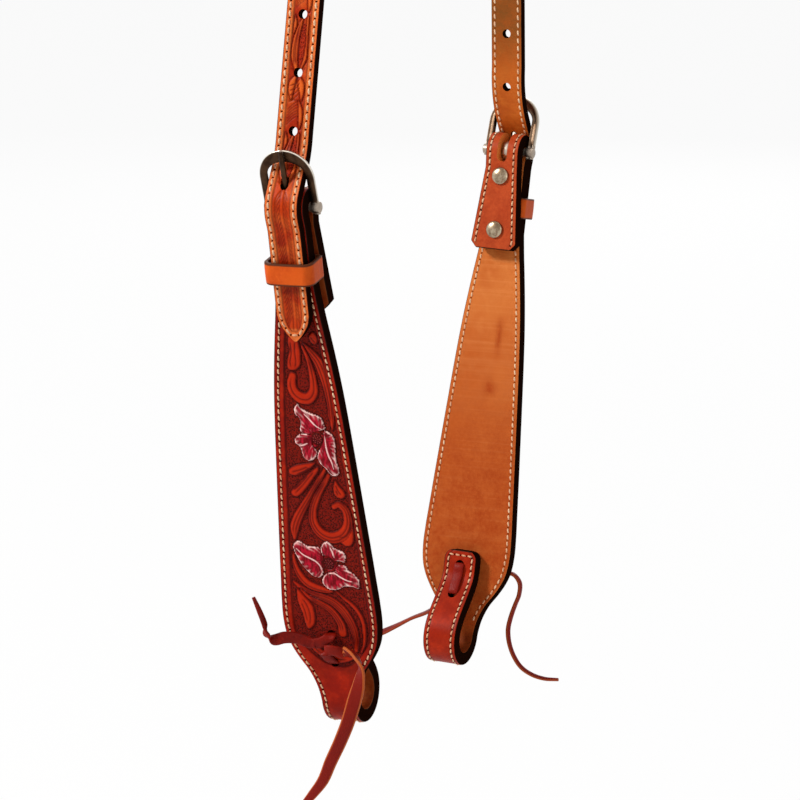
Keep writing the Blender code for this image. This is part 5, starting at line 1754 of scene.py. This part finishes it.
def makeKeeper(side):
    count, height, bulge = keeper["count"], keeper["height"], keeper["bulge"]
    outline, half, front = keeperOutline(count)
    bpy.ops.object.select_all(action="DESELECT")
    bpy.ops.mesh.primitive_circle_add(vertices=count, radius=1)
    band = bpy.context.active_object
    band.name = band.data.name = side + "_keeper_loop"
    bpy.ops.object.mode_set(mode="EDIT")
    bpy.ops.mesh.select_all(action="SELECT")
    for _ in range(keeper["steps"]):
        bpy.ops.mesh.extrude_region_move(TRANSFORM_OT_translate={"value": (0, 0, height / keeper["steps"])})
    bpy.ops.object.mode_set(mode="OBJECT")
    for vertex in band.data.vertices:  # the round band pressed to the shape of what it holds
        x, y = outline[round(atan2(vertex.co.y, vertex.co.x) / (2 * pi) * count) % count]
        level = vertex.co.z / height * 2 - 1
        puff = bulge * (1 - level**2) * (y > front * 0.35)
        bow = bulge * (1 - (x / half) ** 2) * (y > front * 0.8)
        vertex.co = (x + np.sign(x) * puff * 0.3, -(y + bow + puff * 0.4), level * height / 2)
    wall = {"thickness": keeper["thick"], "offset": 0, "use_even_offset": True}
    wallUp(band, wall, {"width": keeper["edge"], "segments": 3, "angle_limit": radians(60)})
    marks = np.zeros((len(band.data.vertices), 4))
    for vertex in band.data.vertices:
        edge = height / 2 - abs(vertex.co.z)
        marks[vertex.index, 0] = float(1 - smoothStep((edge - 0.00025) / 0.0004))
    putColours(band.data, "finish", marks)
    band.data.transform(heelFrame(side) @ Matrix.Translation((0, 0, -keeper["drop"])))
    coverWith(band, materials["keeper"])
    smoothBy(band, 50)
    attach(band, side + "_keeper_band")
    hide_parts(side + "_keeper")


post = {
    "head": 0.00415, "dome": 0.0014, "barrel": 0.0025, "rim": 0.0004, "screwHead": 0.0010, "round": 0.0002,
    "overlap": 0.00001, "tip": 0.0003, "steps": 10,
}


def makePosts(side):
    matrix = heelFrame(side)
    inward, upward = cheekWay(matrix, 0, -1, 0), cheekWay(matrix, 0, 0, -1)
    low = leafFace + gap
    top, head, barrel = low + post["rim"], post["head"], post["barrel"]
    profile = [(barrel, -(leafFace - post["screwHead"]) + gap), (barrel, low - post["overlap"])]
    profile += [(head - post["round"], low), (head, low + post["round"])]
    for i in range(post["steps"]):
        turn = pi / 2 * (1 - i / post["steps"])
        profile.append((head * sin(turn) * 0.995, top + post["dome"] * cos(turn)))
    profile.append((post["tip"], top + post["dome"]))
    for place, drop in screwDrops.items():
        stand = facing(matrix @ fromCheek(0, 0, drop), upward, inward)
        made = lathe(f"{side}_{place}_post_dome", profile, stand, 48)
        coverWith(made, materials["nickel"])
        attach(made, "headstall")
        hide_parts(f"{side}_{place}_chicago_post")
        coverWith(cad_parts[f"{side}_{place}_chicago_screw"], materials["nickel"])


knotLace = {
    "width": 0.0050, "thick": 0.0015, "room": 0.0003, "turn": 0.0006, "inner": 0.0062,
    "downs": (0.12, 0.30, 0.50, 0.70, 0.88),
    "over": ((-2.6, 10.1, 204.0), (-1.0, 9.2, 202.8), (0, 8.0, 202.1)),
    "overWays": ((0, 0, 1), (0.5, 0, 1), (0.7, 0, 0.7), (0.9, 0, 0.5), (1, 0, 0)),
    "under": (
        (-0.9, 8.9, 213.8), (-2.1, 10.0, 211.4), (-2.3, 11.2, 209.2), (-1.2, 12.2, 207.6), (1.0, 12.5, 207.0),
        (3.8, 12.0, 207.5),
    ),
    "underWays": (
        (1, 0, -0.1), (1, 0, -0.3), (0.8, 0, -0.6), (0.5, 0, -1), (0.1, 0, -1), (-0.2, 0, -1),
        (0, -0.6, -0.8),
    ),
}


def makeKnot(side):  # one lace: over the front, in at the upper hole, down the back, out at the lower
    sign = {"near": 1, "far": -1}[side]
    offSeam = gap / 2 + cheek["outer"] + knotLace["room"] + knotLace["thick"] / 2
    lift = (leafFace + 2 * gap + knot["depth"] / 2) * 1000
    middle = (tieUpper + tieLower) / 2
    high = (middle - tails[side + "_tie_side_tail"]["rise"]) * 1000
    over = [(-6.8, lift, high), (-4.6, 10.5, high - 0.4), *knotLace["over"]]
    under = [*knotLace["under"], (6.8, lift, middle * 1000)]
    inside = []
    for n in np.linspace(knotLace["inner"], bitTabSeam - cheek["outer"] - knotLace["turn"], 6):
        inside.append((0, n, tieUpper))
    for share in knotLace["downs"]:
        drop = tieUpper + tie["spacing"] * share
        slope = float(bitTabAt(drop + gap) - bitTabAt(drop - gap)) / (2 * gap)
        off = Vector((-1, slope)).normalized() * offSeam
        inside.append((0, float(bitTabAt(drop)) + off.x, drop + off.y))
    for n in np.linspace(float(bitTabAt(tieLower)) - offSeam + knotLace["turn"], leafFace, 8):
        inside.append((0, n, tieLower))
    over, under = ([(x / 1000 * sign, n / 1000, w / 1000) for x, n, w in part] for part in (over, under))
    ways = [*knotLace["overWays"], *[(1, 0, 0)] * len(inside), *knotLace["underWays"]]
    turn = np.array(heelFrame(side))[:3, :3]
    ways = (np.array(ways, float) * (sign, -1, -1)) @ turn.T
    made, _ = ribbon(
        side + "_tie_loop", onCheek(side, over + inside + under), ways, knotLace["width"], knotLace["thick"],
        materials["lace"], pitch=0.0005,
    )
    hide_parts(side + "_tie_run", side + "_tie_knot")


for side in ("near", "far"):
    makeBuckle(side)
    makeTongue(side)
    makeKeeper(side)
    makePosts(side)
    makeKnot(side)
    print(side, "buckle, tongue, keeper, screws and tie made")

studio = {
    "floorDrop": -0.62, "floorSize": 60.0, "floorTone": (0.9, 0.9, 0.9, 1), "ambient": 0.25, "glow": 0.93,
    "lampsAt": (0, 0, -0.35),
    "lamps": (
        ("keyLamp", (-1.5, -1.5, 1.2), 0.5, 60.0, (1.0, 0.98, 0.95)),
        ("fillLamp", (2.2, -1.2, 0.2), 1.6, 9.0, (1.0, 0.99, 0.98)),
        ("topLamp", (0.2, 0.3, 1.7), 1.6, 10.0, (1.0, 1.0, 1.0)),
        ("backLamp", (-0.8, 2.4, 0.5), 1.6, 14.0, (1.0, 1.0, 1.0)),
    ),
}


def whenSeen(tree):  # 1 where the camera, a reflection or a clear view sees it
    path = node(tree, "LightPath")
    seen = maths(tree, "MAXIMUM", path.outputs["Is Camera Ray"], path.outputs["Is Glossy Ray"])
    return maths(tree, "MAXIMUM", seen, path.outputs["Is Transmission Ray"])


def lightWorld():
    world = bpy.data.worlds.new("studioWorld")
    bpy.context.scene.world = world
    world.use_nodes = True
    tree = world.node_tree
    strength = node(tree, "MapRange", {0: whenSeen(tree), 1: 0.0, 2: 1.0, 3: studio["ambient"], 4: 1.0})
    fillIn(tree, tree.nodes["Background"], {"Color": (1, 1, 1, 1), "Strength": strength.outputs[0]})


def layFloor():
    bpy.ops.object.select_all(action="DESELECT")
    bpy.ops.mesh.primitive_plane_add(size=studio["floorSize"], location=(0, 0, studio["floorDrop"]))
    floor = bpy.context.active_object
    floor.name = "studioFloor"
    bpy.ops.object.transform_apply(location=True, rotation=True, scale=True)
    made, tree, shader, _ = newFinish("paleFloor", studio["floorTone"])
    fillIn(tree, shader, {"Base Color": studio["floorTone"], "Roughness": 0.9})
    glow = node(tree, "Emission", {0: (1, 1, 1, 1), 1: 1.0})
    share = maths(tree, "MULTIPLY", whenSeen(tree), studio["glow"])
    mix = node(tree, "MixShader", {0: share, 1: shader.outputs[0], 2: glow.outputs[0]})
    fillIn(tree, tree.nodes["Material Output"], {"Surface": mix.outputs[0]})
    floor.data.materials.append(made)


def hangLamps():
    for name, place, size, power, colour in studio["lamps"]:
        data = bpy.data.lights.new(name, "AREA")
        data.shape, data.size, data.energy, data.color = "DISK", size, power, colour
        lamp = bpy.data.objects.new(name, data)
        bpy.context.scene.collection.objects.link(lamp)
        lamp.location = place
        lamp.rotation_euler = (Vector(studio["lampsAt"]) - Vector(place)).to_track_quat("-Z", "Y").to_euler()


lightWorld()
layFloor()
hangLamps()
bpy.context.scene.view_settings.view_transform = "Standard"
print("studio lit")

bpy.context.view_layer.update()
